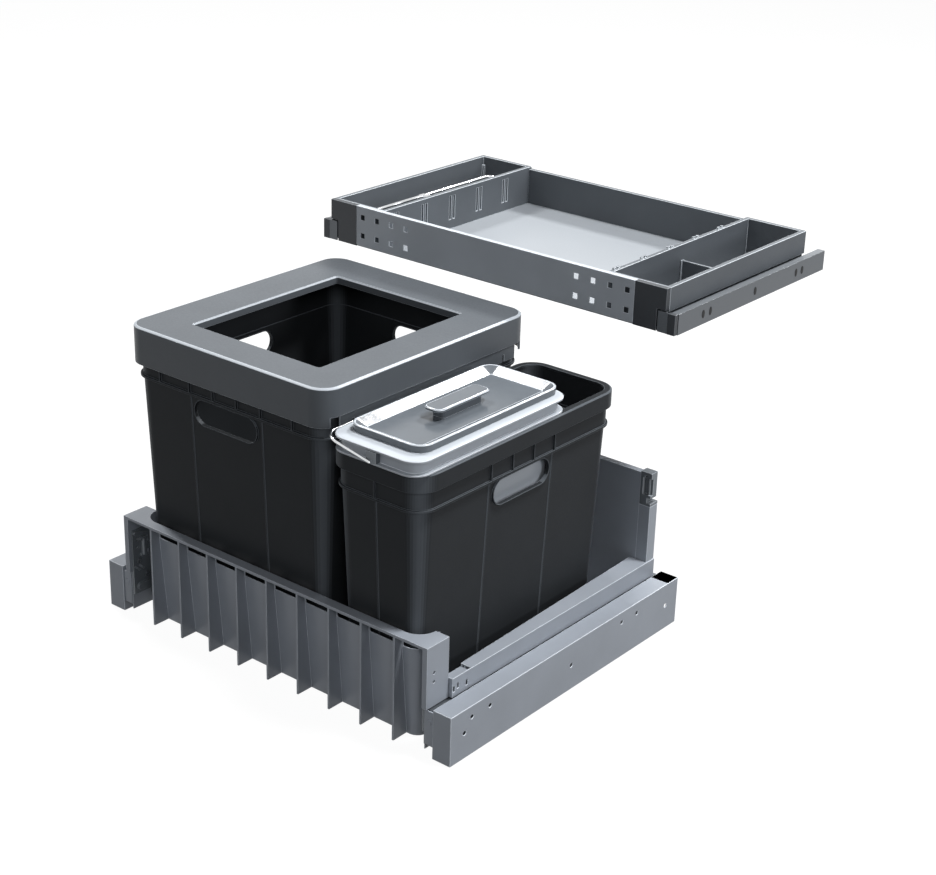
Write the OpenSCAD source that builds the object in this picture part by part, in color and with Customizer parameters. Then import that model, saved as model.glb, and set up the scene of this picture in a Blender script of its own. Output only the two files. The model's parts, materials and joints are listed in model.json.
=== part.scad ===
// Pull-out waste sorting unit for a base cabinet, with a utensil drawer that runs above it.
// Origin: midway between the cabinet rails, at their front ends and undersides.
// X to the right, Y into the cabinet, Z up. Right-hand pieces are drawn, left-hand ones are mirrored.

/* [Cabinet] */
// Clear width between the two side walls of the cabinet
opening_w = 562; // [540:1:580]
// Setback of the first hole of the cabinet's drilled line
hole_setback = 37; // [34:0.5:45]
// Pitch of the cabinet's drilled line
hole_pitch = 32; // [28:0.5:33]
// Diameter of the screw holes
screw_hole_d = 5; // [3.5:0.1:6]

/* [Cabinet rails] */
// Length of a rail
rail_l = 447; // [445:1:480]
// Height of a rail
rail_h = 63; // [61:0.5:75]
// Width of a rail, from the cabinet wall to the slide
rail_w = 26; // [22:0.5:30]
// Sheet thickness of a rail
rail_t = 1.5; // [1:0.1:2]
// Length of the rail's top flange
rail_flange_l = 425; // [380:1:440]
// Width of the returns along the rail's underside
rail_return = 6; // [4:0.5:9]
// Height of the upper row of screw holes
rail_high_z = 48.5; // [45:0.5:55]
// Height of the lower row of screw holes
rail_low_z = 33; // [20:0.5:38]
// Setback of the first hole of the lower row
rail_low_y = 24.5; // [18:0.5:30]
// Pitch of the lower row
rail_low_pitch = 198.5; // [180:0.5:205]

/* [Telescopic slides] */
// Depth of a slide, from its wall to the drawer
slide_t = 12.7; // [12.5:0.1:14]
// Thickness of the slide steel
slide_sheet = 1.2; // [1:0.05:1.4]
// Depth of the ball races rolled into the steel
race_depth = 0.4; // [0.2:0.05:0.5]
// Thickness of the ball cages
cage_t = 0.6; // [0.4:0.05:0.8]
// Running gap between the pieces of a slide
run_gap = 0.3; // [0.2:0.05:0.4]
// Balls in each row
balls_per_row = 4; // [3:1:6]
// Length of a lower slide
lower_slide_l = 440; // [430:1:442]
// Height of a lower slide
lower_slide_h = 45; // [42:0.5:46]
// Height of a lower slide's centre line
lower_slide_z = 36; // [35:0.5:36.5]
// Setback of the lower slides behind the rails' front ends
lower_slide_y = 4; // [2:0.5:8]
// Ball diameter of a lower slide
lower_ball_d = 3.2; // [2.8:0.1:3.6]
// Length of an upper slide
upper_slide_l = 343; // [335:1:350]
// Height of an upper slide
upper_slide_h = 26; // [25:0.5:28]
// Ball diameter of an upper slide
upper_ball_d = 2.2; // [2:0.1:2.4]

/* [Tray sides] */
// Sheet thickness of the tray
side_t = 1.5; // [1:0.1:2]
// Height of the top of a side
side_top_z = 85; // [80:1:95]
// Height of the underside of a side
side_foot_z = 6.5; // [4:0.5:7]
// Front end of a side
side_front_y = 3; // [1:0.5:6]
// Rear end of a side
side_back_y = 434; // [430:1:440]
// How far a side's outer skin stands out over the slide
side_reach = 9.7; // [8:0.1:11]
// Gap between a slide and the shelf above it
shelf_gap = 2; // [1:0.1:3]
// Front end of the top lip
lip_y = 70; // [60:1:90]
// Width of the top lip at its front end
lip_front_w = 16; // [10:0.5:18]
// Width of the top lip at its rear end
lip_back_w = 26; // [18:0.5:27]
// Depth of the hem under the lip's inner edge
hem_h = 6; // [3:0.5:12]
// Drop of the cover in front of the lip
skin_drop = 4; // [2:0.5:8]
// Width of the flange that carries the floor
foot_flange_w = 14; // [8:0.5:18]
// Thickness of the tray floor
floor_t = 2; // [1:0.1:3]

/* [Tray front] */
// Width of the front panel
panel_w = 493.2; // [491:0.2:496]
// Height of the panel's top
panel_top_z = 137; // [125:1:145]
// Height of the panel's underside
panel_foot_z = 1; // [0:0.5:3]
// Front edge of the top flange
panel_front_y = -1.4; // [-5:0.2:0]
// Thickness of the top flange
panel_flange_t = 3.6; // [2:0.1:5]
// Wall thickness of the panel
panel_t = 1.5; // [1:0.1:2.5]
// Sideways place of the centre that a rounded corner turns about
corner_x = 203; // [202.5:0.5:205]
// Depth of that centre behind the rails' front
corner_y = 36; // [34:0.5:38]
// Inner corner radius at the top
corner_top_r = 24; // [20:0.5:26]
// Inner corner radius at the bottom
corner_foot_r = 13; // [8:0.5:16]
// Number of ribs across the panel
rib_count = 9; // [5:2:9]
// Pitch of the ribs
rib_pitch = 49.5; // [40:0.5:50]
// Thickness of a rib
rib_t = 2.5; // [1.5:0.1:4]
// Wall left on each side of the slot in a bay
bay_margin = 1; // [0.5:0.5:6]
// Height of the slot in each bay
bay_slot_h = 15.5; // [8:0.5:20]
// Thickness of the end plates
end_plate_t = 7; // [5:0.1:8]
// Height of the end plates' underside
end_plate_z = 60; // [59.5:0.5:62]
// Diameter of the adjusting holes in the end plates
adjust_hole_d = 4; // [3:0.1:5]
// Height of the lower adjusting hole
adjust_hole_z = 91; // [80:1:100]
// Setback of the adjusting holes
adjust_hole_y = 11; // [8:0.5:16]
// Spacing of the two adjusting holes
adjust_hole_pitch = 11.3; // [9:0.1:14]
// Thickness of the cast front brackets
bracket_t = 2.4; // [1.5:0.1:3]
// Diameter of the adjusting screws' heads
screw_head_d = 7; // [5:0.1:9]
// Height of the adjusting screws' heads
screw_head_h = 2; // [1.2:0.1:3]

/* [Tray back] */
// Width of the rear posts
post_w = 16.5; // [14:0.5:20]
// Setback of the back panel's front face
back_y = 418; // [417.5:0.5:419]
// Height of the back panel's top
back_top_z = 204; // [190:1:212]
// Width of the back panel's folded flanges
back_flange = 9; // [6:0.5:12]
// Height of the top of the rear posts
post_top_z = 161; // [140:1:170]
// Height of the top of the rear clips
clip_top_z = 206; // [200:1:215]
// Height of the notch in a rear clip
clip_notch_h = 7; // [4:0.5:10]

/* [Bins] */
// Wall thickness of the bins
bin_wall = 2.5; // [1.5:0.1:3]
// Inward lean of the large bin's walls for each unit of depth
large_taper = 0.038; // [0.037:0.001:0.042]
// Inward lean of the small bin's walls for each unit of depth
small_taper = 0.044; // [0.044:0.001:0.047]
// Thickness of the ledge ring round a bin
ledge_t = 3; // [2:0.1:5]
// Width of the ledge ring
ledge_w = 4; // [2:0.1:5]
// Pitch of the ribs under the rims
bin_rib_pitch = 38.7; // [36:0.1:40]
// Thickness of those ribs
bin_rib_t = 2; // [1:0.1:4]
// How far the long ribs stand out of the wall
long_rib_h = 0.9; // [0.5:0.1:1.5]
// Length of a hand hole
hand_hole_l = 102; // [80:1:106]
// Height of a hand hole
hand_hole_h = 31; // [24:1:32]
// Depth of the collar round a hand hole
hand_collar = 1.2; // [0.8:0.1:1.5]

/* [Large bin] */
// Sideways place of the large bin's centre
large_x = -74; // [-75:0.5:-73]
// Depth of the large bin's centre behind the rails' front
large_y = 188; // [184:0.5:192]
// Half width of the bag frame
frame_half_x = 162; // [160:0.5:162.5]
// Half depth of the bag frame
frame_half_y = 182; // [178:0.5:184]
// Corner radius of the bag frame
frame_r = 26; // [24:0.5:32]
// Height of the bag frame's top
frame_top_z = 390; // [384:1:394]
// Height of the bag frame's lower edge
frame_foot_z = 343; // [338:1:350]
// Rise of that edge along the frame's right side
frame_step = 12; // [6:1:16]
// Wall thickness of the bag frame
frame_wall = 2.5; // [2:0.1:3]
// Thickness of the bag frame's plate
frame_plate_t = 3; // [2:0.1:4]
// Width of the sloping edge round the frame
frame_edge_w = 3; // [1:0.1:4]
// Drop of that edge
frame_edge_h = 1.6; // [0.8:0.1:2]
// Depth of the inner wall on the frame's right side
frame_band_h = 20; // [14:1:24]
// Width of the opening in the bag frame
mouth_w = 205; // [180:1:215]
// Depth of the opening in the bag frame
mouth_l = 249; // [220:1:260]
// Sideways place of the opening, from the frame's centre
mouth_dx = 2.5; // [0:0.5:4]
// Place of the opening in depth, from the frame's centre
mouth_dy = -5.5; // [-8:0.5:0]
// Corner radius of the opening
mouth_r = 3; // [2:0.5:6]
// Depth of the lip round the opening
mouth_lip_h = 10; // [5:0.5:20]
// Height of the large bin's ledge ring
large_ledge_z = 326; // [316:1:330]

/* [Small bin] */
// Sideways place of the small bin's centre
small_x = 159.5; // [159.25:0.25:160]
// Depth of the small bin's centre behind the rails' front
small_y = 187; // [187:0.25:188]
// Half width of the small bin's rim
small_half_x = 69.5; // [69:0.5:69.5]
// Half depth of the small bin's rim
small_half_y = 183.5; // [180:0.5:186]
// Corner radius of the rim
small_r = 30; // [28:0.5:32]
// Height of the rim's top
small_top_z = 330; // [325:1:330]
// Height of the rim's skirt
small_skirt_h = 21; // [14:1:25]
// Height of the small bin's ledge ring
small_ledge_z = 284; // [275:1:290]
// Depth of the cross bar behind the rails' front
partition_y = 280; // [278:1:290]

/* [Food waste caddy] */
// Half width of the caddy's rim
caddy_half_x = 64.5; // [64:0.5:65]
// Half depth of the caddy's rim
caddy_half_y = 135.5; // [133:0.5:136]
// Sideways place of the caddy's centre
caddy_x = 162.5; // [162:0.5:163]
// Depth of the caddy's centre behind the rails' front
caddy_y = 134.5; // [133:0.5:136]
// Corner radius of the rim
caddy_r = 22; // [20:0.5:26]
// Height of the rim above the small bin
caddy_rise = 19; // [16:0.5:24]
// Depth of the caddy below the small bin's rim
caddy_drop = 170; // [140:1:190]
// Inset of the caddy's neck
neck_inset = 7; // [6.5:0.5:8]
// Wall thickness of the caddy
caddy_wall = 2; // [1.5:0.1:2.5]
// Half width of the caddy's body at its top
caddy_body_half_x = 55; // [50:0.5:55.5]
// Half depth of the caddy's body at its top
caddy_body_half_y = 120.5; // [115:0.5:121]
// Wire diameter of the bail
wire_d = 3; // [2.5:0.1:3.5]
// Rise of the bail's far side above its pivots at rest
bail_rise = 13; // [12:0.5:16]
// Gap between the caddy's rim and the bail
bail_gap = 1.2; // [0.8:0.1:2]

/* [Caddy lid] */
// Half width of the lid
lid_half_x = 54; // [52:0.5:55]
// Half depth of the lid
lid_half_y = 124; // [118:0.5:124]
// Depth of the lid's centre behind the rails' front
lid_y = 144; // [140:0.5:144]
// Corner radius of the lid
lid_r = 18; // [16:0.5:24]
// Height of the lid's rim
lid_h = 9; // [6:0.5:12]
// Width of the sloping border inside the rim
lid_slope_w = 13; // [8:0.5:14]
// Length of the knob's grip plate
knob_l = 92; // [60:1:110]
// Width of the knob's grip plate
knob_w = 26; // [16:0.5:30]
// Thickness of the grip plate
knob_t = 3.5; // [2.5:0.1:5]
// Height of the knob's stem
knob_stem_h = 10.5; // [8:0.5:16]

/* [Utensil drawer] */
// Setback of the drawer front behind the rails' front
upper_y = 395; // [392:1:398]
// Height of the drawer's underside
upper_z = 400; // [399:1:405]
// Height of the drawer
upper_h = 55; // [50:1:65]
// Depth of the drawer, front to back
upper_l = 321; // [310:1:330]
// Gap between the drawer and an upper slide
upper_side_gap = 1.3; // [1:0.1:2]
// Thickness of the drawer floor
upper_floor_t = 2; // [1:0.1:3]
// Width of an end cap
cap_w = 45.5; // [40:0.5:50]
// Sheet thickness of the front rail
front_t = 1.5; // [1:0.1:2]
// Depth of the front rail's flanges
front_flange = 7; // [6:0.5:9]
// Depth of the lip behind the front rail
front_lip = 8; // [4:0.5:12]
// Side of the square holes
square_hole = 7; // [5:0.5:9]
// Pitch of the square holes
square_pitch = 25; // [20:0.5:27]
// Place of the last square hole before the rail's end
square_end = 10.5; // [8:0.5:14]
// Square holes in each row
square_columns = 4; // [2:1:4]
// Height of the lower row of square holes above the drawer's underside
square_z = 15.5; // [12:0.5:18]
// Width of a side module
module_w = 89; // [80:1:100]
// Wall thickness of a side module
module_t = 6; // [3:0.5:8]
// Height of the step in a module's outer wall
module_step_z = 25; // [24:1:28]
// Depth of that step
module_step = 3; // [1:0.5:4]
// Width of a slot in a module's inner wall
wall_slot_w = 4; // [3:0.5:5]
// Pitch of the two slots of a pair
wall_slot_gap = 8; // [6:0.5:10]
// Pitch of the slot pairs
wall_slot_pitch = 58; // [54:0.5:59]
// Number of slot pairs
wall_slot_pairs = 5; // [3:1:5]
// Height of a slot
wall_slot_h = 33; // [20:1:36]
// Depth of the cross divider behind the drawer front
divider_dy = 159; // [150:1:170]
// Height of the cross divider
divider_h = 33; // [20:1:45]
// Thickness of the cross divider
divider_t = 3; // [2:0.5:4]
// Thickness of the drawer's back wall
upper_back_t = 6; // [3:0.5:8]
// Diameter of the roll bars
bar_d = 5; // [4:0.5:6]
// Place of the roll bars, inwards from the module's inner face
bar_inset = 16; // [12:0.5:20]

/* [Hidden] */

$fn = 48;
// Overrun of every cut
cut = 1;

light_grey = "#A2A7AE";
zinc = "#8E9499";
dark_plastic = "#33363A";
mid_grey = "#6C7278";
black_plastic = "#222526";
pale_plastic = "#D9DCDF";
pale_floor = "#EDEFF1";
steel = "#B9BDC2";

// Slide, from its wall inwards: cabinet member, cage, middle member, cage, drawer member
middle_u = slide_sheet + 2 * run_gap + cage_t;
outer_cage_u = slide_sheet + run_gap;
inner_cage_u = middle_u + slide_sheet + run_gap;
member_u = inner_cage_u + cage_t + run_gap;
cabinet_reach = slide_t - 2 * slide_sheet;
middle_reach = slide_t - slide_sheet - 2 * run_gap;
outer_ball_u = slide_t / 2;
inner_ball_u = (member_u + slide_t - slide_sheet) / 2;
cage_margin = 10;
function race_gap(ball) = ball + 2 * (run_gap - race_depth);
function middle_half(h, ball) = h / 2 - slide_sheet - race_gap(ball);
function member_half(h, ball) = middle_half(h, ball) - slide_sheet - race_gap(ball);
function outer_ball_z(h, ball) = h / 2 - slide_sheet - race_gap(ball) / 2;
function inner_ball_z(h, ball) = middle_half(h, ball) - slide_sheet - race_gap(ball) / 2;

// Walls that the slides are screwed to, and the planes that they carry
lower_wall_x = opening_w / 2 - rail_w;
upper_wall_x = opening_w / 2;
side_x = lower_wall_x - slide_t;
side_in_x = side_x - side_t;
skin_x = side_x + side_reach;
shelf_z = lower_slide_z + lower_slide_h / 2 + shelf_gap;

// Tray front and back
panel_half = panel_w / 2;
panel_wall_top_z = panel_top_z - panel_flange_t;
end_plate_x = panel_half - end_plate_t;
side_clear = 0.6;
wall_start_y = corner_y + side_clear;
low_wall_top_z = end_plate_z - 3 * side_clear;
post_y = back_y - side_clear;
wall_end_y = post_y - side_clear;
floor_z = side_foot_z + side_t;
floor_top_z = floor_z + floor_t;
back_half_w = skin_x - side_t - post_w;
end_slot_l = 18;
panel_run = panel_wall_top_z - panel_foot_z;
function corner_r(z) = corner_foot_r + (corner_top_r - corner_foot_r) * (z - panel_foot_z) / panel_run;
bracket_foot_z = 28;
bracket_top_z = 116;
bracket_tail_l = 34;
bracket_tail_z = 20;
bracket_tail_top_z = 78;
bracket_edge = 4;
arm_from = [7, 112];
arm_to = [24, 107];
arm_w = 5;
arm_h = 2;
boss_from = [12, 37.5];
boss_to = [23, 37.5];
boss_w = 9;
boss_h = 3;
spindle_y = 19.5;
spindle_z = [80, 102];
spindle_d = 6;
window_y = 26;
window_w = 5;
window_z = [98, 79];
window_h = 10;
slant_y = [8.5, 16];
slant_z = 63;
slant_l = 11;
slant_w = 2.4;
adjust_screw_places = [[24, 50], [12, 73]];
screw_slot_w = 1.2;
wall_extend = 6;
skin_slot_places = [[36.6, 10.1], [43.5, 12.2], [58.9, 9.7]];
skin_slot_w = 3;
skin_slot_h = 7;
back_notch_w = 14;
back_notch_pitch = 78;
back_notch_h = 1;
clip_hook_w = 11;
clip_base_h = 4;
clip_pin_d = 6;

// Bins
rim_t = 3;
bin_base_t = 3;
large_corner_r = 24;
body_inset_x = 8.3;
body_inset_y = 6.8;
collar_out = 0.9;
rim_out = 3.8;
large_cx = frame_half_x - body_inset_x - large_corner_r;
large_cy = frame_half_y - body_inset_y - large_corner_r;
frame_under_z = frame_top_z - frame_plate_t;
small_cx = small_half_x - small_r;
small_cy = small_half_y - small_r;
small_body_r = small_r - neck_inset;
small_edge_w = 2;
small_edge_h = 1.1;
small_seat_w = 1.5;
small_collar_inset = 5.5;
small_collar_r = small_r - small_collar_inset;
outer_rib_share = 1.5;
inner_rib_share = 0.5;
far_rib_x = 108;
far_rib_y = 134;
partition_t = 2.5;
partition_top_z = small_top_z - 2 * rim_t;
band_gap = 0.8;
band_t = 2;
band_notch_w = 3;
band_notch_h = 9;
mouth_edge_w = 2;
hand_hole_drop = 2.5;

// Caddy and lid
caddy_cx = caddy_half_x - caddy_r;
caddy_cy = caddy_half_y - caddy_r;
caddy_top_z = small_top_z + caddy_rise;
caddy_foot_z = small_top_z - caddy_drop;
caddy_lip_h = 3;
caddy_rim_t = 2.5;
caddy_lip_t = 1.5;
caddy_edge_w = 1.2;
caddy_edge_h = 0.8;
caddy_gap = 0.1;
hang_ring_inset = 0.5;
caddy_body_r = 16;
neck_r = caddy_r - neck_inset;
lid_dx = 1.5;
lid_x = caddy_x - lid_dx;
lid_seat = 4.5;
caddy_mouth_x = [lid_x - lid_half_x + lid_seat, lid_x + lid_half_x - lid_seat];
caddy_mouth_y = [lid_y - lid_half_y + lid_seat, caddy_y + caddy_body_half_y - 2 * caddy_wall];
plug_gap = 1;
plug_h = 6;
lid_rim_w = 2.5;
lid_panel_t = 2;
lid_edge_w = 1.2;
lid_edge_h = 0.7;
stem_inset = 4;
knob_edge_w = 1.6;
knob_edge_h = 1;
bail_plane = caddy_half_y + bail_gap + wire_d / 2;
bail_pivot_rise = 4;
bail_z = small_top_z + bail_pivot_rise;
bail_run = caddy_half_x + bail_gap + wire_d / 2;
bail_arm = sqrt(bail_run * bail_run + bail_rise * bail_rise);
bail_tilt = atan(bail_rise / bail_run);
bail_bend_r = 20;
pin_clear = 0.1;
pin_reach = 7;
clip_w = 14;
clip_top = caddy_top_z - caddy_lip_h - side_clear;

// Utensil drawer
upper_half = upper_wall_x - slide_t - upper_side_gap;
front_half_w = upper_half - cap_w;
upper_slide_rise = 12;
upper_slide_set = 7;
upper_slide_z = upper_z + upper_slide_rise;
upper_slide_y = upper_y + upper_slide_set;
upper_top_z = upper_z + upper_h;
upper_floor_top_z = upper_z + upper_floor_t;
upper_back_y = upper_y + upper_l;
module_y = upper_y + front_flange + side_clear;
module_in_x = upper_half - module_w;
tab_w = 12;
tab_t = front_t;
cap_notch_w = tab_w + side_clear;
cap_notch_z = 28;
cap_face_t = 2;
bumper_l = 6;
bumper_drop = 0.4;
boss_d = 9;
boss_share = [0.15, 0.5, 0.8];
first_pair_dy = 24.5;
slot_foot_z = 15;
bump_h = 2.3;
corner_rib_t = 3;
corner_rib_drop = 12;
divider_edge = 2;
back_drop = 3;
bar_drop = 5;
bar_z = upper_top_z - bar_drop;
bar_front_l = 92;
bar_back_l = 128;
bar_joint = 10;
hook_r = 9;
runner_hole_shares = [0.157, 0.203, 0.501, 0.791, 0.835];

// Box between two values on each axis
module slab(x, y, z) translate([x[0], y[0], z[0]]) cube([x[1] - x[0], y[1] - y[0], z[1] - z[0]]);

// Left-hand copy of a right-hand piece
module handed() mirror([1, 0, 0]) children();

// Section drawn across and up, pushed back along Y
module push_back(l) translate([0, l, 0]) rotate([90, 0, 0]) linear_extrude(l) children();

// Wall section swept round a rectangle whose corners turn about (cx, cy)
module sweep_round(cx, cy) {
    for (i = [0 : 3]) {
        sx = (i == 0 || i == 3) ? 1 : -1;
        sy = (i < 2) ? 1 : -1;
        translate([sx * cx, sy * cy, 0]) rotate([0, 0, 90 * i]) rotate_extrude(angle = 90) children();
    }
    for (i = [0, 2]) rotate([0, 0, 90 * i]) translate([cx, cy, 0])
        rotate([90, 0, 0]) linear_extrude(2 * cy) children();
    for (i = [1, 3]) rotate([0, 0, 90 * i]) translate([cy, cx, 0])
        rotate([90, 0, 0]) linear_extrude(2 * cx) children();
}

// Rectangle with round corners, about the origin
module round_rect(hx, hy, r) {
    square([2 * (hx - r), 2 * hy], center = true);
    square([2 * hx, 2 * (hy - r)], center = true);
    for (sx = [-1, 1], sy = [-1, 1]) translate([sx * (hx - r), sy * (hy - r)]) circle(r);
}

// Wall from r0 to r1 and z0 to z1 whose top turns inwards, t thick, behind a sloping edge w wide and h high
module edge_section(r0, r1, z0, z1, w, h, t) polygon([
    [r0, z0], [r1, z0], [r1, z1 - h], [r1 - w, z1], [min(r0, r1 - w) - t, z1],
    [min(r0, r1 - w) - t, z1 - t], [r0, z1 - t]]);

// Each of the four sides in turn, with X pointing out of it from the line of the corner centres
module on_side(i, cx, cy) rotate([0, 0, 90 * i]) translate([(i % 2 == 0) ? cx : cy, 0, 0]) children();

// Hole with round ends through a wall that faces X
module hand_hole(l, h, depth) {
    for (s = [-1, 1]) translate([-depth, s * (l - h) / 2, 0]) rotate([0, 90, 0]) cylinder(d = h, h = 2 * depth);
    translate([-depth, -(l - h) / 2, -h / 2]) cube([2 * depth, l - h, h]);
}

// U-section between two distances from the wall
module channel(u0, u1, half, t) {
    difference() {
        translate([u0, -half]) square([u1 - u0, 2 * half]);
        translate([u0 + t, -(half - t)]) square([u1 - u0, 2 * (half - t)]);
    }
}

module races(u, z, ball) for (s = [-1, 1]) translate([u, s * z]) circle(d = ball + 2 * run_gap);

// Slide pieces, drawn from a wall at x = 0 inwards, with the centre line at z = 0
module cabinet_member(l, h, ball) push_back(l) difference() {
    channel(0, cabinet_reach, h / 2, slide_sheet);
    races(outer_ball_u, outer_ball_z(h, ball), ball);
}

module middle_member(l, h, ball) push_back(l) difference() {
    channel(middle_u, middle_reach, middle_half(h, ball), slide_sheet);
    races(outer_ball_u, outer_ball_z(h, ball), ball);
    races(inner_ball_u, inner_ball_z(h, ball), ball);
}

module drawer_member(l, h, ball) push_back(l) difference() {
    translate([slide_t, 0]) mirror([1, 0]) channel(0, slide_t - member_u, member_half(h, ball), slide_sheet);
    races(inner_ball_u, inner_ball_z(h, ball), ball);
}

module ball_cage(l, u, ball_u, ball_z, ball) {
    cage_l = l / 2 - 2 * cage_margin;
    pitch = cage_l / balls_per_row;
    translate([0, l / 4 + cage_margin, 0]) {
        push_back(cage_l) channel(u, ball_u + ball / 2, ball_z + cage_t / 2, cage_t);
        for (s = [-1, 1], i = [0 : balls_per_row - 1])
            translate([ball_u, (i + 0.5) * pitch, s * ball_z]) sphere(d = ball);
    }
}

// Puts a slide piece on the left wall at a given place
module on_wall(x, y, z) translate([-x, y, z]) children();

module both_cages(x, y, z) {
    on_wall(x, y, z) children();
    handed() on_wall(x, y, z) children();
}

// Section of a rail: sheet folded to a box, with two returns along its open underside
module rail_section() difference() {
    translate([lower_wall_x, 0]) square([rail_w, rail_h]);
    translate([lower_wall_x + rail_t, rail_t]) square([rail_w - 2 * rail_t, rail_h - 2 * rail_t]);
    translate([lower_wall_x + rail_return, -cut]) square([rail_w - 2 * rail_return, rail_t + 2 * cut]);
}

module right_cabinet_rail() color(light_grey) difference() {
    union() {
        push_back(rail_l) rail_section();
        slab([lower_wall_x, upper_wall_x], [0, rail_t], [0, rail_h]);
    }
    slab([lower_wall_x + rail_t, upper_wall_x - rail_t], [rail_flange_l, rail_l + cut],
        [rail_h - 2 * rail_t, rail_h + cut]);
    for (i = [0, 1, 9, 10]) rail_hole(hole_setback + i * hole_pitch, rail_high_z);
    for (i = [0 : 2]) rail_hole(rail_low_y + i * rail_low_pitch, rail_low_z);
}

module rail_hole(y, z) translate([upper_wall_x - rail_t - cut, y, z])
    rotate([0, 90, 0]) cylinder(d = screw_hole_d, h = rail_t + 2 * cut);

module left_cabinet_rail() handed() right_cabinet_rail();

module left_lower_cabinet_member() color(steel) on_wall(lower_wall_x, lower_slide_y, lower_slide_z)
    cabinet_member(lower_slide_l, lower_slide_h, lower_ball_d);
module right_lower_cabinet_member() handed() left_lower_cabinet_member();

module left_lower_middle_member() color(steel) on_wall(lower_wall_x, lower_slide_y, lower_slide_z)
    middle_member(lower_slide_l, lower_slide_h, lower_ball_d);
module right_lower_middle_member() handed() left_lower_middle_member();

module left_lower_tray_member() color(steel) on_wall(lower_wall_x, lower_slide_y, lower_slide_z)
    drawer_member(lower_slide_l, lower_slide_h, lower_ball_d);
module right_lower_tray_member() handed() left_lower_tray_member();

module lower_outer_ball_cages() color(zinc) both_cages(lower_wall_x, lower_slide_y, lower_slide_z)
    ball_cage(lower_slide_l, outer_cage_u, outer_ball_u,
        outer_ball_z(lower_slide_h, lower_ball_d), lower_ball_d);

module lower_inner_ball_cages() color(zinc) both_cages(lower_wall_x, lower_slide_y, lower_slide_z)
    ball_cage(lower_slide_l, inner_cage_u, inner_ball_u,
        inner_ball_z(lower_slide_h, lower_ball_d), lower_ball_d);

// Tray side: an inner wall on the slide, a shelf over it, an outer skin, a tapering top lip and a lower
// cover in front of it
module right_tray_side() color(light_grey) {
    slab([side_in_x, side_x], [side_front_y, wall_end_y], [side_foot_z, low_wall_top_z]);
    slab([side_in_x, side_x], [wall_start_y, wall_end_y], [side_foot_z, side_top_z - skin_drop]);
    slab([side_in_x, side_x], [lip_y, wall_end_y], [side_foot_z, side_top_z]);
    slab([side_in_x, skin_x], [wall_start_y, side_back_y], [shelf_z, shelf_z + side_t]);
    difference() {
        slab([skin_x - side_t, skin_x], [wall_start_y, side_back_y], [shelf_z, side_top_z]);
        for (p = skin_slot_places)
            slab([skin_x - side_t - cut, skin_x + cut],
                [side_front_y + p[0] - skin_slot_w / 2, side_front_y + p[0] + skin_slot_w / 2],
                [shelf_z + p[1] - skin_slot_h / 2, shelf_z + p[1] + skin_slot_h / 2]);
    }
    slab([side_x, skin_x], [wall_start_y, wall_start_y + side_t], [shelf_z, side_top_z]);
    slab([skin_x - lip_front_w, skin_x - side_t / 2], [wall_start_y, lip_y + side_t],
        [side_top_z - skin_drop - side_t, side_top_z - skin_drop]);
    translate([0, 0, side_top_z - side_t]) linear_extrude(side_t)
        polygon([[skin_x, lip_y], [skin_x, wall_end_y],
            [skin_x - lip_back_w, wall_end_y], [skin_x - lip_front_w, lip_y]]);
    translate([0, 0, side_top_z - hem_h]) linear_extrude(hem_h)
        polygon([[skin_x - lip_front_w + side_t, lip_y], [skin_x - lip_back_w + side_t, wall_end_y],
            [skin_x - lip_back_w, wall_end_y], [skin_x - lip_front_w, lip_y]]);
    slab([side_x - foot_flange_w, side_x], [corner_y + wall_extend + side_clear, wall_end_y],
        [side_foot_z, floor_z]);
}
module left_tray_side() handed() right_tray_side();

module tray_floor() color(light_grey) translate([0, 0, floor_z]) linear_extrude(floor_t) {
    translate([-side_in_x, corner_y + wall_extend + side_clear])
        square([2 * side_in_x, side_back_y - corner_y - wall_extend - side_clear]);
    front_r = corner_r(floor_z) - side_clear;
    translate([-corner_x, corner_y - front_r]) square([2 * corner_x, front_r + 2 * wall_extend]);
    for (s = [-1, 1]) translate([s * corner_x, corner_y]) circle(front_r);
    translate([-corner_x - front_r, corner_y]) square([2 * (corner_x + front_r), 2 * wall_extend]);
}

// Sloping wall of the front panel: straight in the middle, coned round the corners
module panel_wall_section() polygon([
    [corner_foot_r, panel_foot_z], [corner_foot_r + panel_t, panel_foot_z],
    [corner_top_r + panel_t, panel_wall_top_z], [corner_top_r, panel_wall_top_z]]);

module bay_slot(x0, x1) slab([x0, x1], [panel_front_y, corner_y - corner_foot_r],
    [panel_wall_top_z - bay_slot_h, panel_wall_top_z]);

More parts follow.
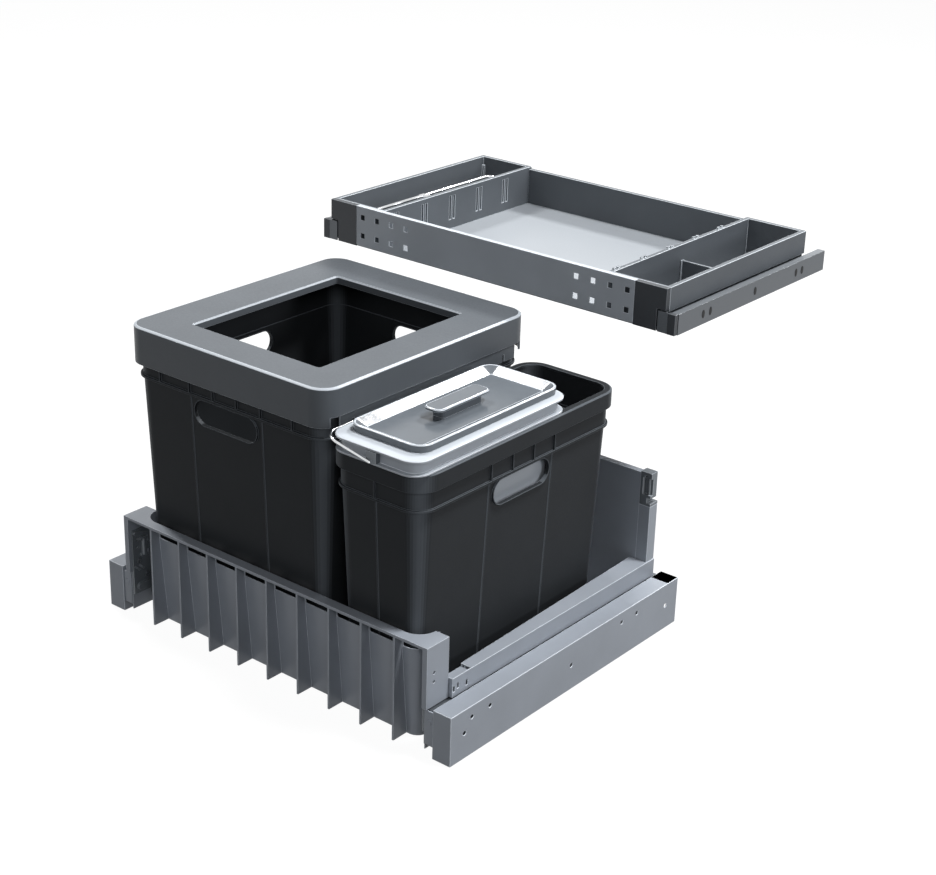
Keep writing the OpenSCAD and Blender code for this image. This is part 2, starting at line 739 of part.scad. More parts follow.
module front_panel() color(light_grey) {
    end_slot_x = (rib_count - 1) / 2 * rib_pitch + rib_t / 2 + bay_margin;
    difference() {
        translate([corner_x, corner_y, 0]) rotate([0, 0, -90]) rotate([90, 0, 0])
            linear_extrude(2 * corner_x) panel_wall_section();
        for (i = [0 : rib_count - 2]) {
            x0 = (i - (rib_count - 1) / 2) * rib_pitch + rib_t / 2 + bay_margin;
            bay_slot(x0, x0 + rib_pitch - rib_t - 2 * bay_margin);
        }
        for (s = [0, 1]) mirror([s, 0, 0]) bay_slot(end_slot_x, end_slot_x + end_slot_l);
    }
    for (s = [0, 1]) mirror([s, 0, 0]) {
        difference() {
            translate([corner_x, corner_y, 0]) rotate([0, 0, -90]) rotate_extrude(angle = 90) panel_wall_section();
            bay_slot(end_slot_x, end_slot_x + end_slot_l);
        }
        translate([corner_x, corner_y + wall_extend, 0]) rotate([90, 0, 0])
            linear_extrude(wall_extend) panel_wall_section();
        difference() {
            slab([end_plate_x, panel_half], [panel_front_y, corner_y], [end_plate_z, panel_top_z]);
            adjust_holes();
        }
    }
    for (i = [0 : rib_count - 1]) translate([(i - (rib_count - 1) / 2) * rib_pitch - rib_t / 2, 0, 0])
        rotate([90, 0, 90]) linear_extrude(rib_t) polygon([
            [panel_front_y, panel_foot_z], [corner_y - corner_foot_r - panel_t / 2, panel_foot_z],
            [corner_y - corner_top_r - panel_t / 2, panel_wall_top_z], [panel_front_y, panel_wall_top_z]]);
    translate([0, 0, panel_wall_top_z]) linear_extrude(panel_flange_t) difference() {
        translate([-panel_half, panel_front_y]) square([panel_w, corner_y - panel_front_y]);
        translate([-corner_x, corner_y - corner_top_r]) square([2 * corner_x, 2 * corner_top_r]);
        translate([-corner_x - corner_top_r, corner_y]) square([2 * (corner_x + corner_top_r), cut]);
        for (s = [-1, 1]) translate([s * corner_x, corner_y]) circle(corner_top_r);
    }
}

// Two holes through an end plate and its bracket, for the screws that carry the cabinet's door front
module adjust_holes() for (i = [0, 1])
    translate([end_plate_x - bracket_t - cut, adjust_hole_y, adjust_hole_z + i * adjust_hole_pitch])
        rotate([0, 90, 0]) cylinder(d = adjust_hole_d, h = bracket_t + end_plate_t + 2 * cut);

// Bar with round ends on the bracket's inner face, from one point (y, z) to another
module cast_bar(from, to, w, h) translate([end_plate_x - bracket_t - h, from[0], from[1]])
    rotate([atan2(to[1] - from[1], to[0] - from[0]), 0, 0]) {
        run = norm(to - from);
        slab([0, h], [0, run], [-w / 2, w / 2]);
        for (y = [0, run]) translate([0, y, 0]) rotate([0, 90, 0]) cylinder(d = w, h = h);
    }

// Cast bracket that joins the end plate to the tray side: an arm, an adjusting spindle between two
// lugs, a boss and windows, with two slanted slots
module right_front_bracket() color(zinc) difference() {
    union() {
        slab([end_plate_x - bracket_t, end_plate_x], [side_front_y, corner_y],
            [bracket_foot_z, bracket_top_z]);
        slab([end_plate_x - bracket_t, side_in_x], [corner_y - bracket_edge, corner_y + bracket_tail_l],
            [bracket_tail_z, bracket_foot_z]);
        slab([end_plate_x - bracket_t, side_in_x], [wall_start_y, corner_y + bracket_tail_l],
            [bracket_tail_z, bracket_tail_top_z]);
        slab([end_plate_x - bracket_t, end_plate_x], [corner_y - bracket_edge, wall_start_y + bracket_edge],
            [bracket_tail_z, bracket_tail_top_z]);
        cast_bar(arm_from, arm_to, arm_w, arm_h);
        cast_bar(boss_from, boss_to, boss_w, boss_h);
        for (z = spindle_z) cast_bar([spindle_y - spindle_d / 2, z], [spindle_y + spindle_d / 2, z], arm_w, boss_h);
        translate([end_plate_x - bracket_t - spindle_d / 4, spindle_y, spindle_z[0]])
            cylinder(d = spindle_d, h = spindle_z[1] - spindle_z[0]);
    }
    adjust_holes();
    for (z = window_z) slab([end_plate_x - bracket_t - cut, end_plate_x + cut],
        [window_y, window_y + window_w], [z - window_h / 2, z + window_h / 2]);
    for (y = slant_y) translate([end_plate_x - bracket_t - cut, y, slant_z]) rotate([-45, 0, 0])
        slab([0, bracket_t + 2 * cut], [-slant_l / 2, slant_l / 2], [-slant_w / 2, slant_w / 2]);
}
module left_front_bracket() handed() right_front_bracket();

// Adjusting screws, four heads on the brackets' inner faces
module adjusting_screws() color(steel) for (s = [0, 1]) mirror([s, 0, 0])
    for (p = adjust_screw_places)
        translate([end_plate_x - bracket_t - screw_head_h, p[0], p[1]]) difference() {
            rotate([0, 90, 0]) cylinder(d = screw_head_d, h = screw_head_h);
            translate([-cut, -screw_head_d / 3, -screw_slot_w / 2])
                cube([cut + screw_head_h / 2, screw_head_d * 2 / 3, screw_slot_w]);
            translate([-cut, -screw_slot_w / 2, -screw_head_d / 3])
                cube([cut + screw_head_h / 2, screw_slot_w, screw_head_d * 2 / 3]);
        }

// Back panel with a notched top flange and two side flanges
module back_panel() color(light_grey) {
    slab([-back_half_w, back_half_w], [back_y, back_y + side_t], [floor_top_z, back_top_z]);
    difference() {
        slab([-back_half_w, back_half_w], [back_y, back_y + back_flange], [back_top_z - side_t, back_top_z]);
        for (i = [-2 : 2]) slab(
            [i * back_notch_pitch - back_notch_w / 2, i * back_notch_pitch + back_notch_w / 2],
            [back_y + back_flange - 3 * back_notch_h, back_y + back_flange + cut],
            [back_top_z - side_t - cut, back_top_z + cut]);
    }
    for (s = [0, 1]) mirror([s, 0, 0])
        slab([back_half_w - side_t, back_half_w], [back_y, back_y + back_flange], [floor_top_z, back_top_z]);
}

// Rear post: a channel on the tray side's shelf, with a tongue down to the floor
module right_rear_post() color(light_grey) {
    post_x = skin_x - side_t;
    slab([back_half_w, post_x], [post_y, post_y + side_t], [shelf_z + side_t, post_top_z]);
    slab([post_x - side_t, post_x], [post_y, side_back_y], [shelf_z + side_t, post_top_z]);
    slab([back_half_w, back_half_w + side_t], [post_y, side_back_y], [floor_top_z, post_top_z]);
    slab([back_half_w, post_x], [post_y, side_back_y], [post_top_z - side_t, post_top_z]);
    slab([back_half_w, side_in_x], [post_y, post_y + side_t], [floor_top_z, shelf_z + side_t]);
}
module left_rear_post() handed() right_rear_post();

// Rear clip: a cast block on the post, notched at its outer side, with two pins through it
module right_rear_clip() color(zinc) {
    clip_x = skin_x - side_t;
    notch_z = post_top_z + clip_base_h;
    slab([back_half_w, clip_x], [post_y, side_back_y], [post_top_z, notch_z]);
    slab([back_half_w, back_half_w + clip_hook_w], [post_y, side_back_y - clip_base_h],
        [notch_z, notch_z + clip_notch_h]);
    difference() {
        slab([back_half_w, clip_x], [post_y, side_back_y - clip_base_h], [notch_z + clip_notch_h, clip_top_z]);
        slab([back_half_w + clip_base_h, clip_x + cut], [post_y - cut, post_y + clip_base_h],
            [notch_z + clip_notch_h + clip_base_h, clip_top_z - 2 * clip_base_h]);
        translate([(back_half_w + clip_x) / 2, post_y - cut, clip_top_z - clip_pin_d])
            rotate([-90, 0, 0]) cylinder(d = clip_pin_d / 2, h = 2 * clip_base_h);
    }
    translate([back_half_w + clip_base_h, post_y + clip_base_h / 2, notch_z + clip_notch_h])
        cylinder(d = clip_base_h - side_clear, h = clip_top_z - notch_z - clip_notch_h - clip_base_h);
    translate([clip_x - clip_base_h, post_y + clip_base_h / 2, notch_z + clip_notch_h])
        cylinder(d = clip_base_h - side_clear, h = clip_top_z - notch_z - clip_notch_h - clip_base_h);
}
module left_rear_clip() handed() right_rear_clip();

// Corner radius at a height of a wall that has radius r at the ledge and leans in below it
function wall_r(r, lean, ledge_z, z) = r - lean * (ledge_z - z);

// Section of a bin's wall with its ledge ring and collar
module bin_section(r, lean, ledge_z, collar_r, top_z) {
    foot_r = wall_r(r, lean, ledge_z, floor_top_z);
    polygon([[foot_r, floor_top_z], [r, ledge_z], [r - bin_wall, ledge_z], [foot_r - bin_wall, floor_top_z]]);
    translate([r - bin_wall, ledge_z]) square([ledge_w + bin_wall, ledge_t]);
    translate([collar_r - bin_wall, ledge_z]) square([bin_wall, top_z - ledge_z]);
}

module bin_base(cx, cy, r, lean, ledge_z) {
    base_r = wall_r(r, lean, ledge_z, floor_top_z) - bin_wall / 2;
    translate([0, 0, floor_top_z]) linear_extrude(bin_base_t) round_rect(cx + base_r, cy + base_r, base_r);
}

// Short ribs between the ledge and the rim, one on each side of the middle and beyond
module collar_ribs(places, collar_r, r, z0, z1) for (s = [-1, 1], p = places)
    slab([collar_r - bin_wall / 2, r], [s * p - bin_rib_t / 2, s * p + bin_rib_t / 2], [z0, z1]);

// Long ribs down the leaning wall, running out at its foot
module long_ribs(places, r, lean, ledge_z) for (s = [-1, 1], p = places)
    translate([0, s * p + bin_rib_t / 2, 0]) rotate([90, 0, 0])
        linear_extrude(bin_rib_t) polygon([
            [wall_r(r, lean, ledge_z, floor_top_z) - bin_wall / 2, floor_top_z],
            [wall_r(r, lean, ledge_z, floor_top_z), floor_top_z],
            [r + long_rib_h, ledge_z], [r - bin_wall / 2, ledge_z]]);

module large_bin() color(dark_plastic) translate([large_x, large_y, 0]) {
    body_r = large_corner_r;
    collar_r = body_r + collar_out;
    rim_r = body_r + rim_out;
    hole_z = large_ledge_z - hand_hole_drop - hand_hole_h / 2;
    difference() {
        union() {
            sweep_round(large_cx, large_cy)
                bin_section(body_r, large_taper, large_ledge_z, collar_r, frame_under_z);
            sweep_round(large_cx, large_cy)
                translate([collar_r - bin_wall, frame_under_z - rim_t])
                    square([rim_r - collar_r + bin_wall, rim_t]);
            for (i = [0 : 3]) on_side(i, large_cx, large_cy) {
                places = [inner_rib_share * bin_rib_pitch, outer_rib_share * bin_rib_pitch,
                    (i % 2 == 0) ? far_rib_y : far_rib_x];
                collar_ribs(places, collar_r, body_r + ledge_w, large_ledge_z, frame_foot_z - side_clear);
                long_ribs([outer_rib_share * bin_rib_pitch], body_r, large_taper, large_ledge_z);
                translate([wall_r(body_r, large_taper, large_ledge_z, hole_z), 0, hole_z])
                    hand_hole(hand_hole_l + 2 * hand_collar, hand_hole_h + 2 * hand_collar, bin_wall);
            }
        }
        for (i = [0 : 3]) on_side(i, large_cx, large_cy)
            translate([body_r - bin_wall, 0, hole_z]) hand_hole(hand_hole_l, hand_hole_h, 4 * bin_wall);
    }
    bin_base(large_cx, large_cy, body_r, large_taper, large_ledge_z);
}

module bag_frame() color(mid_grey) translate([large_x, large_y, 0]) {
    cx = frame_half_x - frame_r;
    cy = frame_half_y - frame_r;
    plate_in = frame_wall + frame_edge_w / 2;
    mouth_cx = mouth_w / 2 - mouth_r;
    mouth_cy = mouth_l / 2 - mouth_r;
    difference() {
        union() {
            sweep_round(cx, cy) edge_section(frame_r - frame_wall, frame_r, frame_foot_z, frame_top_z,
                frame_edge_w, frame_edge_h, frame_plate_t);
            translate([0, 0, frame_under_z]) linear_extrude(frame_plate_t) difference() {
                round_rect(frame_half_x - plate_in, frame_half_y - plate_in, frame_r - plate_in);
                translate([mouth_dx, mouth_dy]) round_rect(mouth_w / 2 + frame_wall / 2,
                    mouth_l / 2 + frame_wall / 2, mouth_r + frame_wall / 2);
            }
        }
        slab([frame_half_x - 2 * frame_wall, frame_half_x + cut], [-cy - frame_r / 2, cy + frame_r / 2],
            [frame_foot_z - cut, frame_foot_z + frame_step]);
    }
    translate([mouth_dx, mouth_dy, 0]) sweep_round(mouth_cx, mouth_cy) polygon([
        [mouth_r, frame_top_z - mouth_lip_h], [mouth_r + frame_wall, frame_top_z - mouth_lip_h],
        [mouth_r + frame_wall, frame_top_z], [mouth_r + mouth_edge_w, frame_top_z],
        [mouth_r, frame_top_z - frame_edge_h]]);
    frame_band(cy);
}

// Inner wall on the frame's right side, set in and notched over the bin's collar ribs
module frame_band(half_l) {
    x0 = large_cx + large_corner_r + ledge_w + band_gap;
    top_z = frame_foot_z + frame_step + band_t;
    difference() {
        slab([x0, x0 + band_t], [-half_l, half_l], [top_z - frame_band_h, top_z]);
        for (s = [-1, 1], p = [inner_rib_share * bin_rib_pitch, outer_rib_share * bin_rib_pitch, far_rib_y])
            slab([x0 - cut, x0 + band_t + cut], [s * p - band_notch_w / 2, s * p + band_notch_w / 2],
                [top_z - frame_band_h - cut, top_z - frame_band_h + band_notch_h]);
    }
}

module small_bin() color(dark_plastic) translate([small_x, small_y, 0]) {
    hole_z = small_ledge_z - hand_hole_drop - hand_hole_h / 2;
    skirt_z = small_top_z - small_skirt_h;
    difference() {
        union() {
            sweep_round(small_cx, small_cy)
                bin_section(small_body_r, small_taper, small_ledge_z, small_collar_r, small_top_z - rim_t);
            sweep_round(small_cx, small_cy) {
                edge_section(small_r - bin_wall, small_r, skirt_z, small_top_z,
                    small_edge_w, small_edge_h, rim_t);
                translate([small_collar_r - bin_wall - small_seat_w, small_top_z - rim_t])
                    square([small_r - small_collar_r + small_seat_w, rim_t]);
            }
            for (i = [0 : 3]) on_side(i, small_cx, small_cy) {
                long_places = (i % 2 == 0) ? [outer_rib_share * bin_rib_pitch] : [0];
                places = (i % 2 == 0) ? [inner_rib_share * bin_rib_pitch, long_places[0]] : long_places;
                collar_ribs(places, small_collar_r, small_body_r + ledge_w, small_ledge_z, skirt_z + rim_t);
                long_ribs(long_places, small_body_r, small_taper, small_ledge_z);
                if (i % 2 == 0) {
                    translate([wall_r(small_body_r, small_taper, small_ledge_z, hole_z), 0, hole_z])
                        hand_hole(hand_hole_l + 2 * hand_collar, hand_hole_h + 2 * hand_collar, bin_wall);
                }
            }
        }
        for (i = [0, 2]) on_side(i, small_cx, small_cy)
            translate([small_body_r - bin_wall, 0, hole_z]) hand_hole(hand_hole_l, hand_hole_h, 4 * bin_wall);
    }
    bin_base(small_cx, small_cy, small_body_r, small_taper, small_ledge_z);
}

// Bar across the small bin behind the caddy, seated between the two collars
module bin_cross_bar() color(dark_plastic) translate([small_x, partition_y, 0]) {
    half = small_cx + small_collar_r - bin_wall;
    foot_z = small_ledge_z + ledge_t;
    slab([-half, half], [-partition_t / 2, partition_t / 2], [foot_z, partition_top_z]);
    slab([-half, half], [-partition_t, partition_t], [partition_top_z - partition_t, partition_top_z]);
}

// Caddy: a light bucket that hangs by the ring round its neck on the small bin's rim
module caddy() color(pale_plastic) translate([caddy_x, caddy_y, 0]) {
    mouth_x = caddy_mouth_x - [caddy_x, caddy_x];
    mouth_y = caddy_mouth_y - [caddy_y, caddy_y];
    body_cx = caddy_body_half_x - caddy_body_r;
    body_cy = caddy_body_half_y - caddy_body_r;
    foot_r = caddy_body_r - small_taper * caddy_drop;
    ring_z = small_top_z + caddy_gap;
    plate_in = caddy_lip_t + caddy_edge_w / 2;
    sweep_round(caddy_cx, caddy_cy) {
        edge_section(caddy_r - caddy_lip_t, caddy_r, caddy_top_z - caddy_lip_h, caddy_top_z,
            caddy_edge_w, caddy_edge_h, caddy_rim_t);
        translate([neck_r - caddy_wall, ring_z])
            square([caddy_wall, caddy_top_z - caddy_rim_t / 2 - ring_z]);
        translate([neck_r - caddy_wall, ring_z])
            square([caddy_r - hang_ring_inset - neck_r + caddy_wall, caddy_wall]);
    }
    translate([0, 0, caddy_top_z - caddy_rim_t]) linear_extrude(caddy_rim_t) difference() {
        round_rect(caddy_half_x - plate_in, caddy_half_y - plate_in, caddy_r - plate_in);
        translate([mouth_x[0], mouth_y[0]]) square([mouth_x[1] - mouth_x[0], mouth_y[1] - mouth_y[0]]);
    }
    translate([0, 0, ring_z]) linear_extrude(caddy_wall) difference() {
        round_rect(caddy_cx + neck_r - caddy_wall / 2, caddy_cy + neck_r - caddy_wall / 2, neck_r - caddy_wall / 2);
        round_rect(caddy_body_half_x - caddy_wall, caddy_body_half_y - caddy_wall, caddy_body_r - caddy_wall);
    }
    sweep_round(body_cx, body_cy) polygon([
        [foot_r, caddy_foot_z], [caddy_body_r, small_top_z], [caddy_body_r, ring_z + caddy_wall],
        [caddy_body_r - caddy_wall, ring_z + caddy_wall], [caddy_body_r - caddy_wall, small_top_z],
        [foot_r - caddy_wall, caddy_foot_z]]);
    translate([0, 0, caddy_foot_z]) linear_extrude(caddy_wall)
        round_rect(body_cx + foot_r - caddy_wall / 2, body_cy + foot_r - caddy_wall / 2, foot_r - caddy_wall / 2);
}

// Clips on the caddy's neck that hold the bail's turned-in ends
module bail_clips() color(zinc) translate([caddy_x, caddy_y, 0]) for (s = [0, 1]) mirror([0, s, 0]) difference() {
    neck_y = caddy_half_y - neck_inset;
    slab([-clip_w / 2, clip_w / 2], [neck_y + side_clear, caddy_half_y + side_clear],
        [small_top_z + caddy_gap + caddy_wall, clip_top]);
    translate([0, neck_y, bail_z]) rotate([-90, 0, 0])
        cylinder(r = wire_d / 2 + pin_clear, h = 2 * neck_inset);
}

// Bail: one bent wire, drawn level and then raised by its rest angle
module caddy_bail() color(steel) translate([caddy_x, caddy_y, bail_z]) rotate([0, bail_tilt, 0]) {
    wire_r = wire_d / 2;
    for (s = [0, 1]) mirror([0, s, 0]) {
        translate([0, bail_plane, 0]) sphere(wire_r);
        translate([0, bail_plane - pin_reach, 0]) rotate([-90, 0, 0]) cylinder(r = wire_r, h = pin_reach);
        translate([-(bail_arm - bail_bend_r), bail_plane, 0]) rotate([0, 90, 0])
            cylinder(r = wire_r, h = bail_arm - bail_bend_r);
        translate([-(bail_arm - bail_bend_r), bail_plane - bail_bend_r, 0]) rotate([0, 0, 90])
            rotate_extrude(angle = 90) translate([bail_bend_r, 0]) circle(wire_r);
    }
    translate([-bail_arm, -(bail_plane - bail_bend_r), 0]) rotate([-90, 0, 0])
        cylinder(r = wire_r, h = 2 * (bail_plane - bail_bend_r));
}

// Lid: a dished tray on the caddy's rim, with a plug below
module caddy_lid() color(mid_grey) {
    cx = lid_half_x - lid_r;
    cy = lid_half_y - lid_r;
    top = caddy_top_z + lid_h;
    slope_r = lid_r - lid_rim_w - lid_slope_w;
    translate([lid_x, lid_y, 0]) {
        sweep_round(cx, cy) polygon([
            [slope_r, caddy_top_z], [lid_r, caddy_top_z], [lid_r, top - lid_edge_h], [lid_r - lid_edge_w, top],
            [lid_r - lid_rim_w, top], [slope_r, caddy_top_z + lid_panel_t]]);
        translate([0, 0, caddy_top_z]) linear_extrude(lid_panel_t)
            square([2 * (cx + slope_r), 2 * (cy + slope_r)], center = true);
    }
    slab([caddy_mouth_x[0] + plug_gap, caddy_mouth_x[1] - plug_gap],
        [caddy_mouth_y[0] + plug_gap, caddy_mouth_y[1] - plug_gap], [caddy_top_z - plug_h, caddy_top_z]);
}

// Knob: an oblong grip plate on a stem
module lid_knob() color(mid_grey) translate([lid_x, lid_y, caddy_top_z + lid_panel_t]) {
    half_x = knob_w / 2;
    half_y = knob_l / 2;
    knob_r = knob_w / 3;
    linear_extrude(knob_stem_h) round_rect(half_x - stem_inset, half_y - 3 * stem_inset, knob_r / 2);
    translate([0, 0, knob_stem_h]) sweep_round(half_x - knob_r, half_y - knob_r)
        polygon([[0, 0], [knob_r, 0], [knob_r, knob_t - knob_edge_h], [knob_r - knob_edge_w, knob_t], [0, knob_t]]);
    translate([0, 0, knob_stem_h]) linear_extrude(knob_t)
        square([2 * (half_x - knob_r), 2 * (half_y - knob_r)], center = true);
}

module left_upper_cabinet_member() color(steel) on_wall(upper_wall_x, upper_slide_y, upper_slide_z) difference() {
    cabinet_member(upper_slide_l, upper_slide_h, upper_ball_d);
    for (p = runner_hole_shares) translate([-cut, p * upper_slide_l, 0])
        rotate([0, 90, 0]) cylinder(d = screw_hole_d, h = slide_sheet + 2 * cut);
}
module right_upper_cabinet_member() handed() left_upper_cabinet_member();

module left_upper_middle_member() color(steel) on_wall(upper_wall_x, upper_slide_y, upper_slide_z)
    middle_member(upper_slide_l, upper_slide_h, upper_ball_d);
module right_upper_middle_member() handed() left_upper_middle_member();

// Drawer member with a tab turned in at its front end
module left_upper_drawer_member() color(steel) {
    on_wall(upper_wall_x, upper_slide_y, upper_slide_z)
        drawer_member(upper_slide_l, upper_slide_h, upper_ball_d);
    half = member_half(upper_slide_h, upper_ball_d);
    inner_x = upper_wall_x - slide_t;
    slab([-(inner_x + slide_sheet), -inner_x], [upper_y, upper_slide_y + cut],
        [upper_slide_z - half, upper_slide_z + half]);
    slab([-(inner_x + slide_sheet), -(inner_x - tab_w)], [upper_y, upper_y + tab_t],
        [upper_z, upper_z + upper_slide_h]);
}
module right_upper_drawer_member() handed() left_upper_drawer_member();

module upper_outer_ball_cages() color(zinc) both_cages(upper_wall_x, upper_slide_y, upper_slide_z)
    ball_cage(upper_slide_l, outer_cage_u, outer_ball_u,
        outer_ball_z(upper_slide_h, upper_ball_d), upper_ball_d);

module upper_inner_ball_cages() color(zinc) both_cages(upper_wall_x, upper_slide_y, upper_slide_z)
    ball_cage(upper_slide_l, inner_cage_u, inner_ball_u,
        inner_ball_z(upper_slide_h, upper_ball_d), upper_ball_d);

// Bumper in front of the slide, on the drawer member
module left_slide_bumper() color(black_plastic) slab(
    [-(upper_wall_x - run_gap), -(upper_wall_x - slide_t + slide_sheet)],
    [upper_y, upper_y + bumper_l], [upper_z - bumper_drop, upper_z + upper_slide_h - bumper_drop]);
module right_slide_bumper() handed() left_slide_bumper();

module drawer_floor() color(pale_floor) {
    slab([-front_half_w, front_half_w], [upper_y + front_t, upper_back_y], [upper_z, upper_floor_top_z]);
    slab([-upper_half, upper_half], [module_y, upper_back_y], [upper_z, upper_floor_top_z]);
}

// Front rail: a folded channel with square holes near both ends
module drawer_front_rail() color(mid_grey) {
    difference() {
        slab([-front_half_w, front_half_w], [upper_y, upper_y + front_t], [upper_floor_top_z, upper_top_z]);
        for (s = [-1, 1], i = [0 : square_columns - 1], k = [0, 1]) {
            x = s * (front_half_w - square_end - i * square_pitch);
            z = upper_z + square_z + k * square_pitch;
            slab([x - square_hole / 2, x + square_hole / 2], [upper_y - cut, upper_y + front_t + cut],
                [z - square_hole / 2, z + square_hole / 2]);
        }
    }
    slab([-front_half_w, front_half_w], [upper_y, upper_y + front_flange], [upper_top_z - front_t, upper_top_z]);
    slab([-front_half_w, front_half_w], [upper_y, upper_y + front_flange],
        [upper_floor_top_z, upper_floor_top_z + front_t]);
    slab([-front_half_w, front_half_w], [upper_y + front_flange - front_t, upper_y + front_flange],
        [upper_top_z - front_lip, upper_top_z]);
}

// End cap: a moulded shell, notched for the slide's tab
module right_end_cap() color(black_plastic) difference() {
    slab([front_half_w, upper_half], [upper_y, upper_y + front_flange + side_clear], [upper_z, upper_top_z]);
    slab([front_half_w + cap_face_t, upper_half - cap_face_t],
        [upper_y + cap_face_t, upper_y + front_flange + cut], [upper_z + cap_face_t, upper_top_z - cap_face_t]);
    slab([upper_half - cap_notch_w, upper_half + cut], [upper_y - cut, upper_y + front_flange + side_clear + cut],
        [upper_z - cut, upper_z + cap_notch_z]);
}
module left_end_cap() handed() right_end_cap();

// Side module: a frame of double walls that stands on the floor and forms the drawer's side
module module_body() {
    step_x = upper_half - module_step;
    difference() {
        union() {
            slab([module_in_x, step_x], [module_y, upper_back_y], [upper_floor_top_z, upper_top_z]);
            slab([module_in_x, upper_half], [module_y, upper_back_y], [upper_z + module_step_z, upper_top_z]);
        }
        slab([module_in_x + module_t, upper_half - module_t],
            [module_y + module_t / 2, upper_back_y - module_t], [upper_z, upper_top_z + cut]);
    }
    for (p = boss_share) translate([step_x, upper_slide_y + p * upper_slide_l, upper_slide_z])
        rotate([0, 90, 0]) cylinder(d = boss_d, h = upper_wall_x - slide_t - step_x);
    translate([upper_half - module_t - corner_rib_t, upper_back_y - module_t - corner_rib_t, upper_floor_top_z])
        cube([corner_rib_t, corner_rib_t, upper_h - upper_floor_t - corner_rib_drop]);
}

module right_side_module() color(mid_grey) {
    module_body();
    for (i = [0 : wall_slot_pairs - 1], s = [0, 1]) {
        y = upper_y + first_pair_dy - wall_slot_gap + i * wall_slot_pitch + s * wall_slot_gap;
        slab([module_in_x, module_in_x + module_t / 2], [y - wall_slot_w / 2, y + wall_slot_w / 2],
            [upper_top_z, upper_top_z + bump_h]);
    }
}

module left_side_module() color(mid_grey) handed() difference() {
    module_body();
    for (i = [0 : wall_slot_pairs - 1], s = [0, 1]) {
        y = upper_y + first_pair_dy + i * wall_slot_pitch + s * wall_slot_gap;
        slab([module_in_x - cut, module_in_x + module_t / 2], [y - wall_slot_w / 2, y + wall_slot_w / 2],
            [upper_z + slot_foot_z, upper_z + slot_foot_z + wall_slot_h]);
    }
}

module cross_divider() color(mid_grey) {
    y = upper_y + divider_dy;
    slab([module_in_x + module_t, upper_half - module_t], [y - divider_t / 2, y + divider_t / 2],
        [upper_floor_top_z, upper_floor_top_z + divider_h]);
    slab([module_in_x + module_t, module_in_x + module_t + divider_edge],
        [y - divider_t, y + divider_t], [upper_floor_top_z, upper_floor_top_z + divider_h]);
}

module drawer_back() color(mid_grey)
    slab([-module_in_x, module_in_x], [upper_back_y - upper_back_t, upper_back_y],
        [upper_floor_top_z, upper_top_z - back_drop]);

// Roll bars in the left module: two rods in line on a bracket, the rear one ending in a hook
module roll_bars() color(steel) {
    x = -(module_in_x + bar_inset + module_t);
    y0 = module_y + module_t / 2;
    y1 = y0 + bar_front_l;
    y2 = y1 + bar_joint + bar_back_l;
    translate([x, y0, bar_z]) rotate([-90, 0, 0]) cylinder(d = bar_d, h = y2 - y0);
    slab([x - bar_d / 2, -(module_in_x + module_t)], [y1, y1 + bar_joint], [bar_z - bar_d, bar_z + bar_d / 2]);
    translate([x + hook_r, y2, bar_z]) rotate([0, 0, 90])
        rotate_extrude(angle = 90) translate([hook_r, 0]) circle(d = bar_d);
    translate([x + hook_r, y2 + hook_r, bar_z]) rotate([0, 90, 0])
        cylinder(d = bar_d, h = bar_inset - hook_r);
}

left_cabinet_rail();
right_cabinet_rail();
left_lower_cabinet_member();
right_lower_cabinet_member();
left_lower_middle_member();
right_lower_middle_member();
left_lower_tray_member();
right_lower_tray_member();
lower_outer_ball_cages();
lower_inner_ball_cages();
left_tray_side();
right_tray_side();
tray_floor();
front_panel();
left_front_bracket();
right_front_bracket();
adjusting_screws();
back_panel();
left_rear_post();
right_rear_post();
left_rear_clip();
right_rear_clip();
large_bin();
bag_frame();
small_bin();
bin_cross_bar();
caddy();
bail_clips();
caddy_bail();
caddy_lid();
lid_knob();
left_upper_cabinet_member();
right_upper_cabinet_member();
left_upper_middle_member();
right_upper_middle_member();
left_upper_drawer_member();
right_upper_drawer_member();
upper_outer_ball_cages();
upper_inner_ball_cages();
left_slide_bumper();
right_slide_bumper();
drawer_floor();
drawer_front_rail();
left_end_cap();
right_end_cap();
left_side_module();
right_side_module();
cross_divider();
drawer_back();
roll_bars();
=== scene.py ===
import json
import math

import bmesh
import bpy
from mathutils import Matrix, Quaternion, Vector

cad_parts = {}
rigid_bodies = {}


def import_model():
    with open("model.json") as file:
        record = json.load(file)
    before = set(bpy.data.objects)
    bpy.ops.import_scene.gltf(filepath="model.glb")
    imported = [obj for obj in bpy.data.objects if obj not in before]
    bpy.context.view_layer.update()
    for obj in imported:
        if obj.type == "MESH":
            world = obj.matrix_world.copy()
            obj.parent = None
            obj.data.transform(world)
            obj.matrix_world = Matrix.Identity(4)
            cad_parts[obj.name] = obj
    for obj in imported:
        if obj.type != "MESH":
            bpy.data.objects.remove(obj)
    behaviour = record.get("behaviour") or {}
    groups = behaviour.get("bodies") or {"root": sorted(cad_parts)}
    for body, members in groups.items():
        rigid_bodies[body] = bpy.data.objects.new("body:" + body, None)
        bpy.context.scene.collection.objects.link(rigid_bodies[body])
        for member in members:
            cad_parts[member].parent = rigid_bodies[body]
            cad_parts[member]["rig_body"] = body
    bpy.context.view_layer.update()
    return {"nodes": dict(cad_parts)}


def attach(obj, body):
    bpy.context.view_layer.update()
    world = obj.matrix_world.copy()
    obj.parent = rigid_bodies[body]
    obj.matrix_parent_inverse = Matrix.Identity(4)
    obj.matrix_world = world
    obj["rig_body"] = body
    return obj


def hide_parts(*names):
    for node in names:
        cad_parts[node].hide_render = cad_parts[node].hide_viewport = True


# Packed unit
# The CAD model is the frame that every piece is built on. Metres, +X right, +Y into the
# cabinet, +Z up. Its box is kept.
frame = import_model()
mm = 0.001


